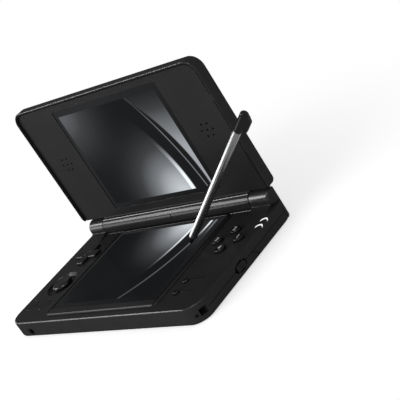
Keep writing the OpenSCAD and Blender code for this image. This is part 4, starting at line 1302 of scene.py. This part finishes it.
def makeLabelBars():
    # Plain raised bars where the small buttons' labels are
    for i, name in enumerate(("front", "rear")):
        length, width, top = labelBar["length"], labelBar["width"], deckZ + labelBar["high"]
        bar = pillBlock(length, width, deckZ - 0.1, top, labelBar["edge"], 3)
        x, y = menuPlace(i)
        at(bar, x + labelBar["right"], y + labelBar["behind"])
        bar.name = "labelBar." + name
        finish(bar, softPlastic, "base", ())


makeLabelBars()
directionPad = finish(makePad(), softPlastic, "d_pad", ("d_pad",))
# The bevels of the pad get the lighter, glossier finish: painted highlight
dressFaces(directionPad, edgeHighlightPlastic, lambda middle, normal: 0.2 < normal.z < 0.96)

# Cap of the analog stick, with the (inward, up) steps of its hollow top

stick = {
    "cap": 6.4, "edge": 1.6, "edgeHigh": 1.5, "tuck": -12,
    "hollow": ((1.9, 1.24), (2.3, 1.12), (3.0, 0.85), (4.6, 0.62), (5.2, 0.52), (6.4, 0.5)),
}


def makeStick():
    low = corners("stick_cap")[0][2]
    cap, stem, edge = stick["cap"], controls["stem"], stick["edge"]
    under = recessZ + 0.3
    profile = [(0, low), (stem, low), (stem, under), (cap - 0.9, under), (cap - 0.6, under + 0.1)]
    for i in range(9):
        angle = radians(stick["tuck"] + 90 * i / 8)
        height = deckZ - 0.2 + stick["edgeHigh"] * sin(angle)
        profile.append((cap - edge + edge * cos(angle), height))
    profile += [(cap - inward, deckZ + up) for inward, up in stick["hollow"]]
    return at(revolve("stickCap", profile, 96), *stickPlace)


stickCap = finish(makeStick(), controlPlastic, "stick_cap", ("stick_cap",))
print("buttons made")

# Shoulder buttons, slider and rocker


def makeShoulder(side):
    piece = shoulderBlank(side, 0, shoulder["foot"], shoulder["top"])
    blockEdge = piece.modifiers.new("edge", "BEVEL")
    blockEdge.width = shoulder["edge"] * mm
    blockEdge.segments = 3
    blockEdge.limit_method = "ANGLE"
    blockEdge.angle_limit = radians(50)
    return cut(bake(piece), [shoulderPost(side, shoulder["pinRadius"] + 0.05, 1.3, 9)])


for side, body in ((-1, "left_shoulder_button"), (1, "right_shoulder_button")):
    finish(makeShoulder(side), controlPlastic, body, (body,))


def makeSidePill(length, side, distance):
    width, sunk, flange = sideParts["width"], sideParts["sunk"], sideParts["flange"]
    piece = pillBlock(length, width, 0, sunk + sideParts["proud"], sideParts["edge"], 5)
    piece = fuse(piece, [pillBlock(length, width + 1.8, flange, flange + 0.6)])
    return moved(piece, sidePlace(side, distance, sunk, sideParts["height"]))


# Grooves across the slider
grooves = {"count": 3, "spread": 1.2, "radius": 0.28, "length": 1.8, "chamfer": 0.4}

slider = makeSidePill(sideParts["sliderLength"], 1, sideParts["sliderMiddle"])
place = sidePlace(1, sideParts["sliderMiddle"], -sideParts["proud"], sideParts["height"])
ribs = grown("ribs", rowTree, place, grooves)
slider = finish(cut(slider, [ribs]), softPlastic, "side_slider", ("side_slider",))
rocker = makeSidePill(sideParts["rockerLength"], -1, sideParts["rockerMiddle"])
finish(rocker, controlPlastic, "volume_rocker", ("volume_rocker",))
print("side controls made")

# Two crescent lights


def lensBlock(i, radius, forward=0, aside=0):
    piece = at(cylinder("lens", radius, -lights["length"], lights["length"], 64), aside, -forward)
    return moved(piece, lightPlace(i))


def makeLights():
    # White crescents: a lens with a dark plug over most of it
    for i, name in enumerate(("front", "rear")):
        keep = shellSlab("keep", [(0, 5), *edgeRound(shell["deckEdge"], deckZ + 0.02, 8)])
        whole = lensBlock(i, lights["radius"] - 0.04)
        cover = lensBlock(i, lights["capRadius"], lights["capForward"], lights["capAside"])
        plug = keepInside(copied(whole), [copied(cover), copied(keep)])
        lens = cut(keepInside(whole, [keep]), [cover])
        finish(lens, lampWhite, "base", ("led_lens_" + name,))
        finish(plug, shellPlastic, "base", ())


makeLights()

# Stylus

stylus = {
    "length": 94.9,
    "radius": 2.2,
    "cap": 12.3,
    "tip": 5,
    "tipRadius": 0.8,
    "lean": 38.5,
    "turn": 12.2,
    "x": 34.3,
    "front": 56,
    "hover": 0.25,
    "finOut": 2.6,
    "finLow": 10,
    "finSlope": 3.6,
    "finHalf": 1.6,
}
stylusTip = (stylus["x"], fromFront(stylus["front"]),
             touchTop + stylus["hover"] + stylus["tipRadius"] * (1 - sin(radians(stylus["lean"]))))
stylusPlace = spot(*stylusTip, stylus["turn"], "Z") @ turned(90 - stylus["lean"], "Y")


def makeFin():
    radius, length, half = stylus["radius"], stylus["length"], stylus["finHalf"]
    reach, low, slope = radius + stylus["finOut"], length - stylus["finLow"], length - stylus["finSlope"]
    outline = [(0, low), (reach - 0.5, low), (reach, low + 0.5), (reach, slope - 0.6),
               (reach - 0.25, slope + 0.1), (radius + 0.4, length - 1.3), (radius - 0.5, length - 0.65),
               (0, length - 0.6)]
    centreX, centreZ = radius * 0.5, length - 6
    edge = ((-half, 0.3), (0.1 - half, 0.1), (0.3 - half, 0))
    rings = []
    for y, inset in (*edge, *((-y, inset) for y, inset in reversed(edge))):
        loop = [(x - inset * (x > centreX), z - inset * copysign(1, z - centreZ)) for x, z in outline]
        rings.append((loop, y))
    swapYZ = Matrix(((1, 0, 0, 0), (0, 0, 1, 0), (0, 1, 0, 0), (0, 0, 0, 1)))
    return faceOutward(moved(loft("hook", rings), swapYZ))


def makeStylus():
    radius, tip, length, point = stylus["radius"], stylus["tip"], stylus["length"], stylus["tipRadius"]
    end = length - stylus["cap"]
    profile = arc(0, point, point, -90, 0)
    profile += [(radius - 0.75, tip - 1.0), (radius - 0.5, tip - 0.6), (radius - 0.4, tip - 0.3),
                (radius - 0.4, tip), (0, tip)]
    piece = moved(revolve("stylusTip", profile, 48), stylusPlace)
    finish(piece, glossPlastic, "stylus", ("stylus_tip",))
    profile = [(0, tip), (radius - 0.35, tip), (radius - 0.1, tip + 0.12), (radius, tip + 0.4),
               (radius, end - 0.2), (radius - 0.15, end), (0, end)]
    piece = moved(revolve("stylusBarrel", profile, 96), stylusPlace)
    finish(piece, stylusMetal, "stylus", ("stylus_barrel",))
    profile = [(0, end), (radius - 0.05, end), (radius + 0.15, end + 0.2), (radius + 0.1, length - 2)]
    profile += arc(radius - 0.9, length - 1, 1, 0, 90) + [(0, length)]
    piece = moved(fuse(revolve("stylusCap", profile, 48), [makeFin()]), stylusPlace)
    finish(piece, glossPlastic, "stylus", ("stylus_cap",))


makeStylus()
print("stylus made")

# Finishes of the nodes that stay as they are
nodeFinish = (
    (steel, ("lower_display", "shield_plate", "bottom_screws", "hinge_pin_left", "hinge_pin_right",
             "volume_switch", "slide_switch", "d_pad_pivot", "upper_display", "microphone", "lid_magnet")),
    (socketPlastic, ("headphone_socket", "power_socket", "card_connector", "stick_housing", "stick_carriage",
                     "left_speaker", "right_speaker")),
    (boardGreen, ("main_board",)),
    (chipBlack, ("board_chips",)),
    (batteryWrap, ("battery",)),
    (padRubber, ("left_rubber_pad", "right_rubber_pad")),
    (cableFilm, ("display_cable",)),
)
for nodeMaterial, nodeNames in nodeFinish:
    for nodeName in nodeNames:
        for slot in nodes[nodeName].material_slots:
            slot.material = nodeMaterial
        if not nodes[nodeName].material_slots:
            nodes[nodeName].data.materials.append(nodeMaterial)
print("kept nodes painted")

# Stage, light and background
stageSet = {"floor": 3.0, "fadeFrom": 0.105, "fadeTo": 0.24, "floorColour": 0.8, "lift": 0.6, "world": 0.42}


def splitRays(tree, kind, given, shown):
    # One shader for the light that is given, another for what the camera and the reflections see
    path = add(tree, "ShaderNodeLightPath").outputs
    seen = maths(tree, "MAXIMUM", path["Is Camera Ray"],
                 maths(tree, "MAXIMUM", path["Is Glossy Ray"], path["Is Transmission Ray"]))
    add(tree, kind, {0: add(tree, "ShaderNodeMixShader", {0: seen, 1: given, 2: shown})})


def makeStage(spec):
    size = spec["floor"]
    mesh = bpy.data.meshes.new("floor")
    mesh.from_pydata([(x * size, y * size, 0) for x, y in ((-1, -1), (1, -1), (1, 1), (-1, 1))], [],
                     [(0, 1, 2, 3)])
    floor = inScene("floor", mesh)
    material = bpy.data.materials.new("floorPaper")
    material.use_nodes = True
    tree = material.node_tree
    tree.nodes.clear()
    coord = add(tree, "ShaderNodeTexCoord").outputs["Object"]
    away = add(tree, "ShaderNodeVectorMath", {0: coord}, operation="LENGTH").outputs["Value"]
    fade = mapped(tree, away, spec["fadeFrom"], spec["fadeTo"], 0, 1)
    paper = add(tree, "ShaderNodeBsdfDiffuse", {"Color": (spec["floorColour"],) * 3 + (1,)})
    lift = add(tree, "ShaderNodeEmission", {"Strength": spec["lift"]})
    both = add(tree, "ShaderNodeAddShader", {0: paper, 1: lift})
    white = add(tree, "ShaderNodeEmission", {"Strength": 1.0})
    near = add(tree, "ShaderNodeMixShader", {0: fade, 1: both, 2: white})
    splitRays(tree, "ShaderNodeOutputMaterial", paper, near)
    mesh.materials.append(material)


def makeWorld(level):
    world = bpy.data.worlds.new("studio")
    bpy.context.scene.world = world
    world.use_nodes = True
    tree = world.node_tree
    tree.nodes.clear()
    soft, white = (add(tree, "ShaderNodeBackground", {"Color": (1, 1, 1, 1), "Strength": strength})
                   for strength in (level, 1.0))
    splitRays(tree, "ShaderNodeOutputWorld", soft, white)


def addLamp(name, spec):
    # A soft box at a distance along a direction; gleam boxes are only seen in reflections, the others never
    data = bpy.data.lights.new(name, "AREA")
    data.shape = "RECTANGLE"
    data.size, data.size_y = spec["size"]
    data.energy = spec["radiance"] * pi * data.size * data.size_y
    lamp = inScene(name, data)
    away = Vector(spec["from"]).normalized()
    place = Matrix.Translation(Vector(spec["aim"]) + away * spec["distance"])
    lamp.matrix_world = place @ away.to_track_quat("Z", "Y").to_matrix().to_4x4()
    lamp.visible_diffuse = not spec["gleam"]
    lamp.visible_glossy = spec["gleam"]


softBoxes = {
    "keyBox": {
        "from": (-0.73, -0.41, 0.55), "aim": (0, 0, 0.04), "distance": 0.6,
        "size": (0.36, 0.18), "radiance": 22, "gleam": True,
    },
    "leftBox": {
        "from": (-0.945, -0.3, 0.115), "aim": (0.05, 0.015, 0.05), "distance": 0.5,
        "size": (0.5, 0.13), "radiance": 8, "gleam": True,
    },
    "topBox": {
        "from": (0.17, -0.31, 0.92), "aim": (0.07, -0.04, 0.01), "distance": 0.6,
        "size": (0.26, 0.18), "radiance": 15, "gleam": True,
    },
    "fillBox": {
        "from": (-0.35, -0.86, 0.36), "aim": (0, 0, 0.04), "distance": 0.9,
        "size": (0.9, 0.5), "radiance": 3.3, "gleam": False,
    },
}

makeStage(stageSet)
makeWorld(stageSet["world"])
for name, spec in softBoxes.items():
    addLamp(name, spec)
bpy.context.scene.view_settings.view_transform = "Standard"
print("stage and light ready")
